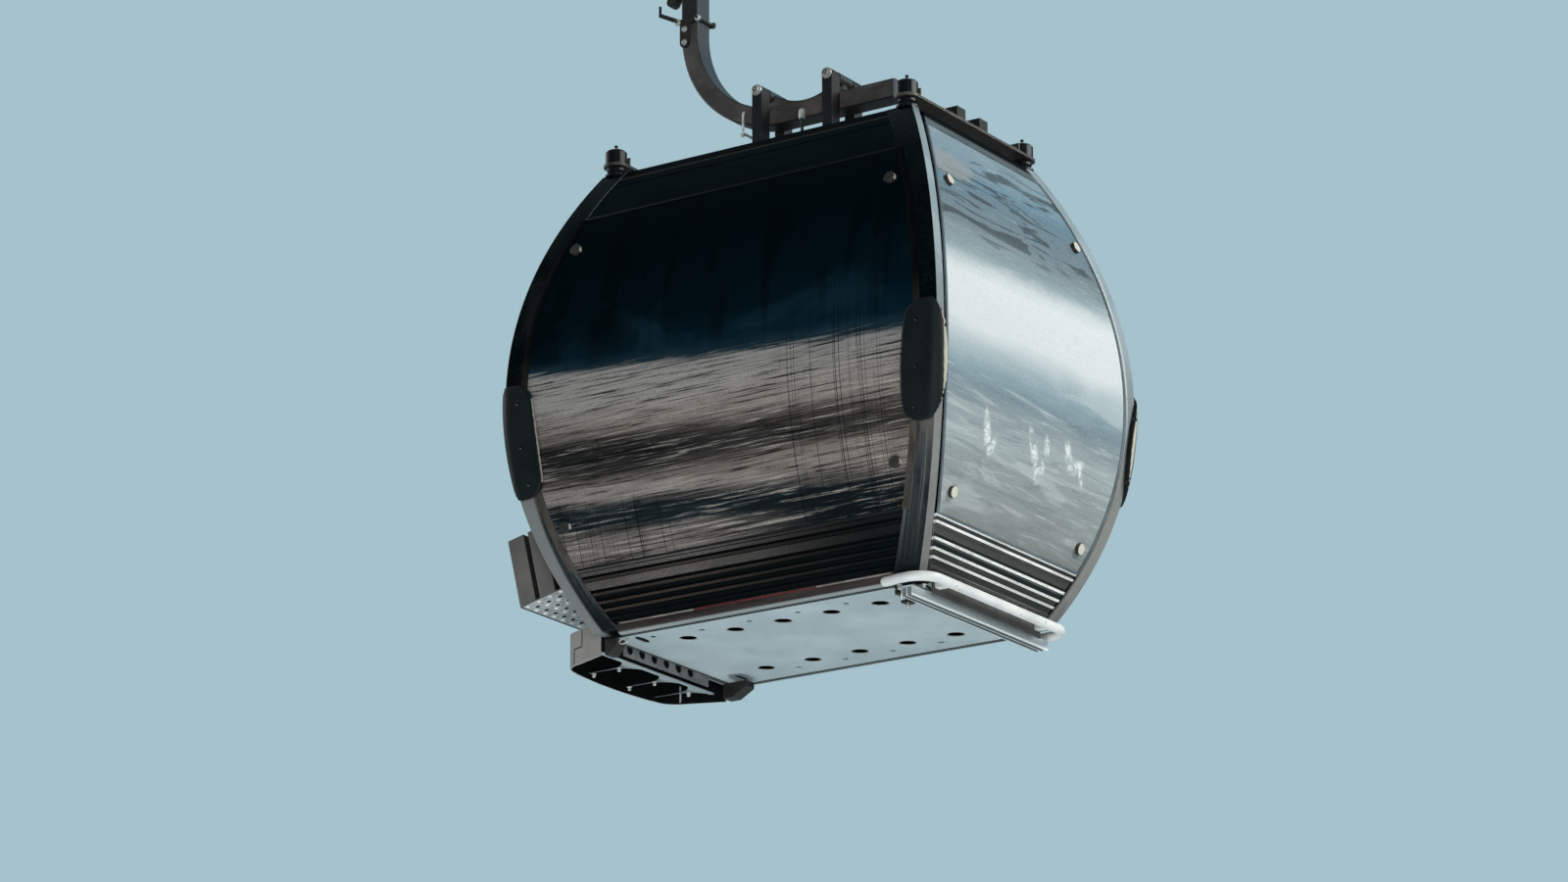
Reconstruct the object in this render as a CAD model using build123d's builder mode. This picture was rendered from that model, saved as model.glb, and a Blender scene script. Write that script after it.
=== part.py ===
from build123d import *
import os
from math import sqrt, sin, cos, asin, radians

os.makedirs("parts", exist_ok=True)

# A gondola cabin for ten people, hung from a moving rope by a bent arm and a detachable grip.
# Millimetres. +Z is up, Y runs along the rope, and the doors are on the -X side.
# The origin is the middle of the rope, in the jaws of the grip. Heights called "height" are
# measured up from the underside of the cabin's posts and become Z by level().

# Rope and cabin shell
rope_radius = 26.0
cabin_height = 2360.0
bulge_radius = 2300.0
widest_drop = 20.0
half_width = 1250.0
half_length = 915.0
panel_gap = 3.0

# Corner posts
post_end_width = 122.0
post_side_width = 90.0
post_depth = 46.0
post_corner_radius = 38.0

# Windows, skirts and rails
window_thickness = 8.0
window_set_back = 4.0
end_window_low = 285.0
end_header = 265.0
side_window_low = 268.0
side_header = 85.0
skirt_thickness = 24.0
skirt_set_back = 16.0
rib_tall = 12.0
rib_proud = 13.0
rib_heights = (44.0, 84.0, 120.0, 160.0, 228.0)
rail_thickness = 40.0
rail_set_back = 3.0
rail_groove_drop = 92.0
rail_groove = 6.0

# Round window fixings, measured in from the panes' edges
button_radius = 29.0
button_proud = 16.0
button_edge = 3.0
end_button_inset = 70.0
end_button_low = 207.0
end_button_high = 179.0
side_button_inset = 97.0
side_button_low = 109.0
side_button_high = 353.0

# Floor
sheet_under = 22.0
sheet_thickness = 4.0
deck_height = 12.0
deck_thickness = 24.0
floor_rail_width = 62.0
floor_rail_top = 36.0
floor_rail_corner = 18.0
rail_line = 5.0
rail_line_places = (10.0, 21.0)
floor_hole_radius = 42.0
floor_hole_spacing = 277.0
floor_hole_rows = 680.0
floor_small_radius = 15.0
floor_small_rows = 850.0
floor_slot_length = 105.0
floor_slot_width = 26.0
floor_slot_inset = 173.0
floor_slot_spacing = 860.0

# Door leaves, ski racks and the step housing on the -X side
leaf_low = 60.0
door_header = 120.0
leaf_frame = 55.0
leaf_thickness = 30.0
leaf_set_back = 2.0
sill_height = 300.0
rack_low = 266.0
rack_tall = 362.0
rack_depth = 296.0
rack_tilt = 13.0
rack_seat = 60.0
rack_over = 62.0
rack_wall = 6.0
rack_box = 95.0
rack_back = 79.0
rack_pockets = 3
step_reach = 282.0
step_bow = 42.0
step_half_length = 432.0
step_splay = 113.0
step_top = 75.0
step_low = -97.0
step_wall = 7.0
step_corner = 130.0
step_bracket_start = 30.0
step_bracket_near_reach = 98.0
step_bracket_near_cut = 40.0
step_bracket_away_reach = 168.0
step_bracket_away_cut = 80.0
step_bracket_width = 70.0
step_bracket_tall = 78.0
step_bracket_lip = 33.0
strip_low = -78.0
strip_inset = 51.0
strip_start = -420.0
strip_thickness = 5.0
strip_holes = 6
strip_pitch = 104.0
strip_hole_radius = 27.0

# Benches
seat_height = 460.0
seat_depth = 430.0
seat_thickness = 60.0
seat_count = 5
seat_joint = 10.0
back_low = 500.0
back_high = 1040.0
back_thickness = 42.0
back_gap = 14.0
base_depth = 190.0
base_half_length = 700.0

# Bumper pads on the corner posts
pad_below = 518.0
pad_tall = 581.0
pad_proud = 30.0
pad_end_reach = 187.0
pad_end_bow = 31.0
pad_end_corner = 100.0
pad_side_reach = 58.0
pad_side_bow = 80.0

# Bumper tube and guide channel, low on the +X side
tube_radius = 24.15
tube_out = 72.0
tube_end_out = 44.0
tube_height = -18.0
tube_bend = 110.0
tube_end_reach = 160.0
tube_tip_reach = 78.0
tube_tip_in = 14.0
channel_width = 62.0
channel_tall = 48.0
channel_wall = 5.0
channel_half_length = 615.0
channel_inset = 60.0
channel_drop = 28.0
spacer_length = 60.0
spacer_places = (-480.0, 0.0, 480.0)
carrier_thickness = 10.0
carrier_half_length = 485.0
carrier_low = -70.0
carrier_high = 20.0
bracket_width = 40.0
bracket_y = 450.0

# Roof, rubber mounts and the frame that carries the cabin
roof_crown = 42.0
roof_thickness = 22.0
mount_x = 861.0
mount_y = 536.0
neck_radius = 40.0
neck_waist = 4.0
neck_ring = 6.0
mount_foot_radius = 56.0
mount_foot_tall = 10.0
neck_step = 8.0
bar_lift = 58.0
bar_width = 126.0
bar_thickness = 12.0
mount_radius = 54.0
mount_tall = 76.0
mount_edge = 9.0
mount_bolt_radius = 9.0
mount_bolt_tall = 32.0
mount_nut_radius = 14.0
mount_nut_tall = 14.0
tab_width = 60.0
tab_thickness = 8.0
tab_tall = 62.0
tab_behind = 78.0
cross_beam_tall = 70.0
cross_beam_width = 76.0
cross_beam_over = 40.0

# Hanger arm
arm_depth = 100.0
arm_width = 118.0
arm_corner = 12.0
beam_lift = 350.0
hanger_rise = 1690.0
beam_end_x = 480.0
arm_x = -750.0
low_bend = 560.0
high_bend = 400.0
axle_length = 130.0
flange_radius = 66.0
flange_thickness = 14.0
pin_spacing = 420.0
pin_middle_x = -70.0
pin_above_beam = 72.0
hanger_pin_radius = 15.0
pin_head_radius = 27.0
pin_head_tall = 8.0
pin_end = 20.0
eye_radius = 30.0
gusset_dip = 14.0
gusset_sink = 5.0
gusset_thickness = 40.0
strap_width = 58.0
strap_thickness = 72.0
strap_gap = 8.0

# Clamp on the arm with its hook and buffer, heights measured up from the beam's middle
clamp_lift = 628.0
clamp_tall = 26.0
clamp_thickness = 10.0
clamp_over = 25.0
clamp_rod_radius = 8.0
clamp_rod_out = 22.0
lug_radius = 29.0
lug_drop = 116.0
lug_bolt_radius = 9.0
lug_bolt_tall = 9.0
lug_bolt_spacing = 72.0
hook_reach = 131.0
hook_rise = 70.0
hook_tip = 45.0
buffer_radius = 29.0
buffer_length = 46.0
buffer_out = 85.0
buffer_lift = 148.0
buffer_stem = 20.0

# Grip
swing_height = -20.0
swing_x = -140.0
swing_pin_radius = 30.0
housing_radius = 60.0
housing_start = -204.0
housing_end = -70.0
swing_gap = 6.0
jaw_half_length = 130.0
jaw_wall = 27.0
jaw_throat = 6.0
block_back = 125.0
block_low = 88.0
block_top = 118.0
block_chamfer = 20.0
ear_back = 50.0
ear_low = 12.0
ear_back_radius = 32.0
bearing_wall = 4.0
jaw_pivot_x = 78.0
jaw_pivot_z = 96.0
jaw_pin_radius = 22.0
jaw_hub_radius = 42.0
ear_thickness = 50.0
lever_reach = 262.0
lever_rise = 16.0
lever_width = 60.0
lever_root_radius = 26.0
lever_tip_radius = 20.0
lever_pin_radius = 12.0
web_radius = 10.0
lever_roller_radius = 40.0
lever_roller_width = 30.0
bar_housing_radius = 46.0
bar_housing_length = 165.0
wheel_radius = 78.0
wheel_width = 36.0
wheel_y = 205.0
wheel_gap = 12.0
wheel_axle_radius = 14.0
wheel_boss_radius = 22.4
plate_height = 196.0
plate_thickness = 12.0
plate_length = 430.0
plate_width = 112.0
plate_back = 45.0
plate_leg_width = 50.0
plate_leg_thickness = 24.0
plate_leg_y = 90.0
pin_play = 0.05
overlap = 1.0

# Heights that follow from the sizes above
widest_height = cabin_height / 2 - widest_drop
beam_height = cabin_height + beam_lift
rope_height = beam_height + hanger_rise
bar_height = cabin_height + bar_lift
end_window_high = cabin_height - end_header
side_window_high = cabin_height - side_header
leaf_high = cabin_height - door_header
pad_low = widest_height - pad_below


def level(height):
    return height - rope_height


def wall_at(widest, height, behind=0.0):
    # How far a bulged wall stands out from the cabin's middle, `behind` its outer face.
    radius = bulge_radius - behind
    return widest - bulge_radius + sqrt(radius**2 - (height - widest_height) ** 2)


def wall_points(widest, side, low, high, behind):
    heights = (low, (low + high) / 2, high)
    return [(side * wall_at(widest, height, behind), level(height)) for height in heights]


def wall_strip(plane, widest, side, low, high, behind, thick):
    # Section of one bulged wall: two arcs on one centre, `thick` apart.
    outer = wall_points(widest, side, low, high, behind)
    inner = wall_points(widest, side, low, high, behind + thick)
    with BuildSketch(plane) as strip:
        with BuildLine():
            ThreePointArc(*outer)
            Line(outer[-1], inner[-1])
            ThreePointArc(*inner)
            Line(inner[0], outer[0])
        make_face()
    return strip.sketch


def barrel(plane, widest, low, high, behind):
    # Section of the whole cabin between two bulged walls, `behind` their outer faces.
    left = wall_points(widest, -1, low, high, behind)
    right = wall_points(widest, 1, low, high, behind)
    with BuildSketch(plane) as section:
        with BuildLine():
            ThreePointArc(*left)
            Line(left[-1], right[-1])
            ThreePointArc(*right)
            Line(right[0], left[0])
        make_face()
    return section.sketch


def bulged_block(low, high, behind):
    with BuildPart() as block:
        extrude(barrel(Plane.XZ, half_width, low, high, behind), amount=2 * half_length, both=True)
        across = barrel(Plane.YZ, half_length, low, high, behind)
        extrude(across, amount=2 * half_width, both=True, mode=Mode.INTERSECT)
    return block.part


def end_wall(side, low, high, behind, thick, inset):
    # Panel of an end wall, `inset` from the corners of the cabin.
    with BuildPart() as wall:
        strip = wall_strip(Plane.YZ, half_length, side, low, high, behind, thick)
        extrude(strip, amount=half_width, both=True)
        between = barrel(Plane.XZ, half_width, low, high, inset)
        extrude(between, amount=2 * half_length, both=True, mode=Mode.INTERSECT)
    return wall.part


def side_wall(side, low, high, behind, thick, inset):
    # Panel of a side wall, `inset` from the corners of the cabin.
    with BuildPart() as wall:
        strip = wall_strip(Plane.XZ, half_width, side, low, high, behind, thick)
        extrude(strip, amount=half_length, both=True)
        between = barrel(Plane.YZ, half_length, low, high, inset)
        extrude(between, amount=2 * half_width, both=True, mode=Mode.INTERSECT)
    return wall.part


def side_span(side, low, high, behind, thick, start, stop):
    # Panel of a side wall from one Y to another, with straight upright edges.
    with BuildPart() as wall:
        strip = wall_strip(Plane.XZ.offset(-start), half_width, side, low, high, behind, thick)
        extrude(strip, amount=start - stop)
    return wall.part


def keep(name, piece):
    piece.label = name
    export_step(piece, f"parts/{name}.step")


ends = (("front", -1), ("back", 1))
corners = (("door_front", -1, -1), ("door_back", -1, 1), ("far_front", 1, -1), ("far_back", 1, 1))
end_inset = post_end_width + panel_gap
side_inset = post_side_width + panel_gap
leaf_width = wall_at(half_length, leaf_low, side_inset)
rack_length = leaf_width - panel_gap + rack_over
room = bulged_block(-overlap, cabin_height + overlap, post_depth)

# Corner posts, rounded on the outside
for name, across, along in corners:
    with BuildPart() as post:
        end_strip = wall_strip(Plane.XZ, half_width, across, 0, cabin_height, 0, post_end_width)
        extrude(end_strip, amount=half_length, both=True)
        side_strip = wall_strip(Plane.YZ, half_length, along, 0, cabin_height, 0, post_side_width)
        extrude(side_strip, amount=half_width, both=True, mode=Mode.INTERSECT)
        outer = post.edges().sort_by(lambda e: across * e.center().X + along * e.center().Y)[-1]
        fillet(outer, radius=post_corner_radius)
        add(room, mode=Mode.SUBTRACT)
    keep(f"corner_post_{name}", post.part)

# End windows, ribbed skirts and the rails over the windows
for name, side in ends:
    with BuildPart() as end_window:
        add(end_wall(side, end_window_low, end_window_high, window_set_back, window_thickness, end_inset))
    keep(f"end_window_{name}", end_window.part)

    with BuildPart() as end_skirt:
        low = floor_rail_top
        add(end_wall(side, low, end_window_low, skirt_set_back, skirt_thickness, post_end_width))
        for height in rib_heights + (end_window_low - rib_tall,):
            behind = skirt_set_back - rib_proud
            add(end_wall(side, height, height + rib_tall, behind, rib_proud + overlap, post_end_width))
    keep(f"end_skirt_{name}", end_skirt.part)

# Far side: one window over a ribbed skirt
with BuildPart() as side_window:
    add(side_wall(1, side_window_low, side_window_high, window_set_back, window_thickness, side_inset))
keep("side_window", side_window.part)

with BuildPart() as side_skirt:
    low = floor_rail_top
    add(side_wall(1, low, side_window_low, skirt_set_back, skirt_thickness, post_side_width))
    for height in rib_heights + (side_window_low - rib_tall,):
        behind = skirt_set_back - rib_proud
        add(side_wall(1, height, height + rib_tall, behind, rib_proud + overlap, post_side_width))
keep("side_skirt", side_skirt.part)

# Rails over the windows and the door, between the posts' heads
with BuildPart() as roof_rails:
    for _, side in ends:
        low = end_window_high
        add(end_wall(side, low, cabin_height, rail_set_back, rail_thickness, post_end_width))
    for side, low in ((-1, leaf_high), (1, side_window_high)):
        add(side_wall(side, low, cabin_height, rail_set_back, rail_thickness, post_side_width))
    groove_low = cabin_height - rail_groove_drop
    for _, side in ends:
        groove_high = groove_low + rail_groove
        cut_depth = rail_set_back + rail_groove
        groove = end_wall(side, groove_low, groove_high, -overlap, cut_depth, post_end_width)
        add(groove, mode=Mode.SUBTRACT)
keep("roof_rails", roof_rails.part)


# Round fixings near the corners of the panes, square to the curved wall
def button(pane_middle, along, height):
    # Disc whose back lies on the pane, `along` the wall's level direction.
    lean = asin((height - widest_height) / bulge_radius)
    out = (pane_middle[0] * cos(lean), pane_middle[1] * cos(lean), sin(lean))
    widest = half_width if pane_middle[0] else half_length
    reach = wall_at(widest, height, window_set_back) + pin_play
    foot = (pane_middle[0] * reach - pane_middle[1] * along, pane_middle[1] * reach + pane_middle[0] * along)
    with BuildPart() as disc:
        with BuildSketch(Plane(origin=(foot[0], foot[1], level(height)), z_dir=out)):
            Circle(button_radius)
        extrude(amount=window_set_back + button_proud)
        rim = disc.edges().sort_by(lambda e: e.center().dot(Vector(*out)))[-1]
        fillet(rim, radius=button_edge)
    return disc.part


with BuildPart() as window_buttons:
    for across in (-1, 1):
        for height in (end_window_low + end_button_low, end_window_high - end_button_high):
            along = across * (wall_at(half_width, height, end_inset) - end_button_inset)
            for _, side in ends:
                add(button((0, side), along, height))
        for height in (side_window_low + side_button_low, side_window_high - side_button_high):
            along = across * (wall_at(half_length, height, side_inset) - side_button_inset)
            add(button((1, 0), along, height))
keep("window_buttons", window_buttons.part)

# Roof: a shallow crowned panel inside the rails
roof_edge = cabin_height - roof_thickness
roof_half_x = wall_at(half_width, cabin_height, post_depth) - panel_gap
roof_half_y = wall_at(half_length, cabin_height, post_depth) - panel_gap


def crown(plane, half, top):
    # Section under the roof's crown, flat below.
    base = level(roof_edge - 2 * roof_crown)
    with BuildSketch(plane) as section:
        with BuildLine():
            ThreePointArc((-half, level(top)), (0, level(top + roof_crown)), (half, level(top)))
            Polyline((half, level(top)), (half, base), (-half, base), (-half, level(top)))
        make_face()
    return section.sketch


with BuildPart() as roof_panel:
    extrude(crown(Plane.XZ, roof_half_x, cabin_height), amount=roof_half_y, both=True)
    across = crown(Plane.YZ, roof_half_y, cabin_height)
    extrude(across, amount=roof_half_x, both=True, mode=Mode.INTERSECT)
    with BuildPart(mode=Mode.PRIVATE) as roof_hollow:
        extrude(crown(Plane.XZ, roof_half_x, roof_edge), amount=roof_half_y, both=True)
        across = crown(Plane.YZ, roof_half_y, roof_edge)
        extrude(across, amount=roof_half_x, both=True, mode=Mode.INTERSECT)
    add(roof_hollow.part, mode=Mode.SUBTRACT)
    with Locations((0, 0, level(cabin_height))):
        with GridLocations(2 * mount_x, 2 * mount_y, 2, 2):
            Cylinder(mount_foot_radius + panel_gap, 2 * roof_crown, mode=Mode.SUBTRACT)
keep("roof_panel", roof_panel.part)

# Floor: edge rails between the posts' feet, a deck inside and a punched sheet below
floor_x = wall_at(half_width, 0)
floor_y = wall_at(half_length, 0)
floor_rail_x = floor_x - floor_rail_width / 2 - rail_set_back
floor_rail_y = floor_y - floor_rail_width / 2 - rail_set_back
floor_rail_tall = floor_rail_top + sheet_under
floor_rail_z = level((floor_rail_top - sheet_under) / 2)
with BuildPart() as floor_rails:
    for side in (-1, 1):
        with Locations((side * floor_rail_x, 0, floor_rail_z)):
            Box(floor_rail_width, 2 * wall_at(half_length, 0, side_inset), floor_rail_tall)
        with Locations((0, side * floor_rail_y, floor_rail_z)):
            Box(2 * wall_at(half_width, 0, end_inset), floor_rail_width, floor_rail_tall)
    rail_low = level(-sheet_under)
    low_edges = floor_rails.edges().filter_by_position(Axis.Z, rail_low - overlap, rail_low + overlap)
    outer_x = low_edges.filter_by(Axis.Y).filter_by(lambda e: abs(e.center().X) > floor_rail_x)
    outer_y = low_edges.filter_by(Axis.X).filter_by(lambda e: abs(e.center().Y) > floor_rail_y)
    fillet(outer_x + outer_y, radius=floor_rail_corner)
    for place in rail_line_places:
        line_x = floor_rail_x - floor_rail_width / 2 + place
        line_y = floor_rail_y - floor_rail_width / 2 + place
        for side in (-1, 1):
            with Locations((side * line_x, 0, rail_low)):
                Box(rail_line, 2 * half_length, 2 * rail_line, mode=Mode.SUBTRACT)
            with Locations((0, side * line_y, rail_low)):
                Box(2 * line_x - rail_line, rail_line, 2 * rail_line, mode=Mode.SUBTRACT)
keep("floor_rails", floor_rails.part)

sheet_x = 2 * floor_rail_x - floor_rail_width
sheet_y = 2 * floor_rail_y - floor_rail_width
with BuildPart() as floor_sheet:
    with BuildSketch(Plane.XY.offset(level(-sheet_under))):
        Rectangle(sheet_x, sheet_y)
        with GridLocations(floor_hole_spacing, floor_hole_rows, 5, 2):
            Circle(floor_hole_radius, mode=Mode.SUBTRACT)
        with GridLocations(floor_hole_spacing, floor_small_rows, 4, 2):
            Circle(floor_small_radius, mode=Mode.SUBTRACT)
        for side in (-1, 1):
            with Locations((floor_slot_inset - floor_x, side * floor_slot_spacing / 2)):
                SlotOverall(floor_slot_length, floor_slot_width, rotation=90, mode=Mode.SUBTRACT)
    extrude(amount=sheet_thickness)
keep("floor_sheet", floor_sheet.part)

with BuildPart() as floor_deck:
    with BuildSketch(Plane.XY.offset(level(deck_height))):
        Rectangle(sheet_x, sheet_y)
    extrude(amount=deck_thickness)
keep("floor_deck", floor_deck.part)

# Door side: sill, fixed panels and two door leaves, each with its glass and a ski rack
with BuildPart() as door_sill:
    add(side_wall(-1, floor_rail_top, leaf_low, leaf_set_back, leaf_thickness, post_side_width))
keep("door_sill", door_sill.part)

# The rack leans less than the door, so a wedge on its back fills the space between them
rack_middle = rack_low + rack_tall / 2
rack_foot = (-wall_at(half_width, rack_middle), 0, level(rack_middle))
rack_out = (-cos(radians(rack_tilt)), 0, -sin(radians(rack_tilt)))
box_length = (rack_length - rack_wall) / rack_pockets - rack_wall
for name, side in ends:
    near = side * panel_gap
    away = side * leaf_width
    cut_near = side * (panel_gap + leaf_frame)
    cut_away = side * (leaf_width - leaf_frame)
    pane_high = leaf_high - leaf_frame
    pane_behind = leaf_set_back + window_set_back
    with BuildPart() as leaf:
        add(side_span(-1, leaf_low, leaf_high, leaf_set_back, leaf_thickness, near, away))
        cutter = side_span(-1, sill_height, pane_high, -overlap, 2 * leaf_thickness, cut_near, cut_away)
        add(cutter, mode=Mode.SUBTRACT)
    keep(f"door_leaf_{name}", leaf.part)

    with BuildPart() as glass:
        add(side_span(-1, sill_height, pane_high, pane_behind, window_thickness, cut_near, cut_away))
    keep(f"door_glass_{name}", glass.part)

    with BuildPart() as fixed:
        low = leaf_low
        add(side_wall(-1, low, leaf_high, window_set_back, leaf_thickness, post_side_width))
        inner = side * (leaf_width + panel_gap)
        cutter = side_span(-1, 0, cabin_height, -overlap, 4 * leaf_thickness, inner, -side * half_length)
        add(cutter, mode=Mode.SUBTRACT)
    keep(f"door_side_panel_{name}", fixed.part)

    start = side * panel_gap
    middle = start + side * rack_length / 2
    rack_plane = Plane(origin=rack_foot, x_dir=rack_out, z_dir=(0, 1, 0)).offset(middle)
    with BuildPart() as rack:
        with BuildSketch(rack_plane):
            with Locations((0, -rack_tall / 2)):
                Rectangle(rack_depth, rack_wall, align=(Align.MIN, Align.MIN))
            for out in (rack_back, rack_depth - rack_box):
                with Locations((out, -rack_tall / 2)):
                    Rectangle(rack_box, rack_tall, align=(Align.MIN, Align.MIN))
            with Locations((-rack_seat, -rack_tall / 2)):
                Rectangle(rack_seat + rack_wall, rack_tall, align=(Align.MIN, Align.MIN))
        extrude(amount=rack_length / 2, both=True)
        for out in (rack_back, rack_depth - rack_box):
            pocket_top = Plane(
                origin=rack_plane.from_local_coords((out + rack_box / 2, rack_tall / 2, 0)),
                x_dir=rack_out,
                z_dir=rack_plane.y_dir,
            )
            with BuildSketch(pocket_top):
                with GridLocations(1, box_length + rack_wall, 1, rack_pockets):
                    Rectangle(rack_box - 2 * rack_wall, box_length)
            extrude(amount=-(rack_tall - 2 * rack_wall), mode=Mode.SUBTRACT)
        add(bulged_block(0, cabin_height, leaf_set_back), mode=Mode.SUBTRACT)
    keep(f"ski_rack_{name}", rack.part)

# Step housing: an open-bottomed tray with splayed ends under the door
step_inner_x = -floor_x + rail_set_back
step_outer_x = -floor_x - step_reach
step_end = step_half_length + step_splay


def step_outline(inset):
    with BuildSketch(Plane.XY.offset(level(step_low))) as outline:
        inner_end = (step_inner_x, step_end - inset)
        outer_end = (step_outer_x + inset, step_half_length - inset / 2)
        with BuildLine():
            ThreePointArc(
                (outer_end[0], -outer_end[1]),
                (step_outer_x - step_bow + inset, 0),
                outer_end,
            )
            Polyline(
                outer_end,
                inner_end,
                (inner_end[0], -inner_end[1]),
                (outer_end[0], -outer_end[1]),
            )
        make_face()
        fillet(outline.vertices().group_by(Axis.X)[0], radius=step_corner - inset)
    return outline.sketch


with BuildPart() as step_housing:
    extrude(step_outline(0), amount=step_top - step_low)
    extrude(step_outline(step_wall), amount=step_top - step_low - step_wall, mode=Mode.SUBTRACT)
    add(bulged_block(0, cabin_height, 0), mode=Mode.SUBTRACT)
keep("step_housing", step_housing.part)

# Brackets under the floor's corners, at the housing's ends: side, reach, length of the slope
bracket_shapes = (
    (-1, step_bracket_near_reach, step_bracket_near_cut),
    (1, step_bracket_away_reach, step_bracket_away_cut),
)
with BuildPart() as step_brackets:
    bracket_top = -sheet_under
    bracket_near = step_inner_x + step_bracket_start
    for side, reach, cut in bracket_shapes:
        bracket_far = step_inner_x + reach
        bracket_profile = (
            (bracket_near, bracket_top),
            (bracket_far, bracket_top),
            (bracket_far, bracket_top - step_bracket_lip),
            (bracket_far - cut, bracket_top - step_bracket_tall),
            (bracket_near, bracket_top - step_bracket_tall),
        )
        with BuildSketch(Plane.XZ.offset(-side * step_end)):
            with BuildLine():
                Polyline([(x, level(height)) for x, height in bracket_profile], close=True)
            make_face()
        extrude(amount=side * step_bracket_width)
keep("step_brackets", step_brackets.part)

# Punched strip under the floor, behind the step housing
strip_length = (strip_holes + 1) * strip_pitch
with BuildPart() as hole_strip:
    with BuildSketch(Plane.YZ.offset(strip_inset - floor_x)):
        with Locations((strip_start, level(strip_low))):
            Rectangle(strip_length, -sheet_under - strip_low, align=(Align.MIN, Align.MIN))
        hole_z = level(-sheet_under - strip_hole_radius / 2)
        for number in range(strip_holes):
            with Locations((strip_start + strip_pitch * (number + 0.5), hole_z)):
                Circle(strip_hole_radius, mode=Mode.SUBTRACT)
    extrude(amount=strip_thickness)
keep("hole_strip", hole_strip.part)

# Benches along the end walls
back_behind = post_depth + back_gap
back_inset = post_end_width + panel_gap
for name, side in ends:
    with BuildPart() as bench:
        seat_back_y = wall_at(half_length, seat_height - seat_thickness, back_behind)
        seat_y = seat_back_y - seat_depth / 2
        seat_reach = wall_at(half_width, seat_height - seat_thickness, back_inset)
        seat_z = level(seat_height - seat_thickness / 2)
        with Locations((0, side * seat_y, seat_z)):
            Box(2 * seat_reach, seat_depth, seat_thickness)
        front = bench.edges().filter_by(Axis.X).sort_by(lambda e: side * e.center().Y)
        fillet(front[:2], radius=seat_thickness / 3)
        pitch = 2 * seat_reach / seat_count
        with Locations((0, side * seat_y, level(seat_height))):
            with GridLocations(pitch, 1, seat_count - 1, 1):
                Box(seat_joint, seat_depth + overlap, seat_joint, mode=Mode.SUBTRACT)
        base_low = deck_height + deck_thickness
        base_tall = seat_height - seat_thickness - base_low
        base_y = sheet_y / 2 - base_depth / 2
        with Locations((0, side * base_y, level(base_low + base_tall / 2))):
            Box(2 * base_half_length, base_depth, base_tall)
        back_part = end_wall(side, back_low, back_high, back_behind, back_thickness, back_inset)
        add(back_part)
    keep(f"bench_{name}", bench.part)

# Bumper pads wrapped round the posts at the widest part, with free edges that bow out
pad_high = pad_low + pad_tall


def pad_outline(plane, widest, toward, reach, bow):
    # Seen square to one wall: the free edge bows away from the corner, the rest runs past it.
    tips = [wall_at(widest, height) - reach + bow for height in (pad_low, pad_high)]
    middle = pad_low + pad_tall / 2
    with BuildSketch(plane) as outline:
        with BuildLine():
            ThreePointArc(
                (toward * tips[0], level(pad_low)),
                (toward * (wall_at(widest, middle) - reach), level(middle)),
                (toward * tips[1], level(pad_high)),
            )
            Polyline(
                (toward * tips[1], level(pad_high)),
                (toward * 2 * widest, level(pad_high)),
                (toward * 2 * widest, level(pad_low)),
                (toward * tips[0], level(pad_low)),
            )
        make_face()
    return outline


with BuildPart() as pads:
    for name, across, along in corners:
        with BuildPart(mode=Mode.PRIVATE) as pad:
            add(bulged_block(pad_low - pad_proud, pad_high + pad_proud, -pad_proud))
            uprights = pad.edges().sort_by(lambda e: across * e.center().X + along * e.center().Y)
            fillet(uprights[-1], radius=post_corner_radius + pad_proud)
            end_outline = pad_outline(Plane.XZ, half_width, across, pad_end_reach, pad_end_bow)
            with end_outline:
                tips = end_outline.vertices().sort_by(lambda v: across * v.X)[:2]
                fillet(tips, radius=pad_end_corner)
            extrude(end_outline.sketch, amount=2 * half_length, both=True, mode=Mode.INTERSECT)
            side_outline = pad_outline(Plane.YZ, half_length, along, pad_side_reach, pad_side_bow)
            extrude(side_outline.sketch, amount=2 * half_width, both=True, mode=Mode.INTERSECT)
            add(bulged_block(0, cabin_height, 0), mode=Mode.SUBTRACT)
        add(pad.part)
keep("bumper_pads", pads.part)

# Bumper tube low on the far side, bent round both corners
tube_x = floor_x + tube_out
tube_y = floor_y + tube_end_out
with BuildPart() as bumper_tube:
    bend_x = tube_x - tube_end_reach
    tip = (bend_x - tube_tip_reach, tube_y - tube_tip_in)
    corner_points = ((bend_x, tube_y), (tube_x, tube_y))
    with BuildLine(Plane.XY.offset(level(tube_height))) as tube_path:
        points = [(tip[0], -tip[1])]
        points += [(x, -y) for x, y in corner_points]
        points += [(x, y) for x, y in reversed(corner_points)]
        points += [tip]
        FilletPolyline(*points, radius=tube_bend)
    with BuildSketch(Plane(origin=tube_path.line @ 0, z_dir=tube_path.line % 0)):
        Circle(tube_radius)
    sweep(path=tube_path.line)
keep("bumper_tube", bumper_tube.part)

# Carrier bar on the floor rail, with the tube's brackets, and the guide channel below
with BuildPart() as carrier:
    bar_x = floor_x - rail_set_back + carrier_thickness / 2
    carrier_tall = carrier_high - carrier_low
    with Locations((bar_x, 0, level(carrier_low + carrier_tall / 2))):
        Box(carrier_thickness, 2 * carrier_half_length, carrier_tall)
    bracket_start = bar_x
    bracket_end = tube_x - tube_radius / 2
    for side in (-1, 1):
        place = ((bracket_start + bracket_end) / 2, side * bracket_y, level(tube_height))
        with Locations(place):
            Box(bracket_end - bracket_start, bracket_width, bracket_width)
    add(bumper_tube.part, mode=Mode.SUBTRACT)
keep("bumper_carrier", carrier.part)

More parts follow.
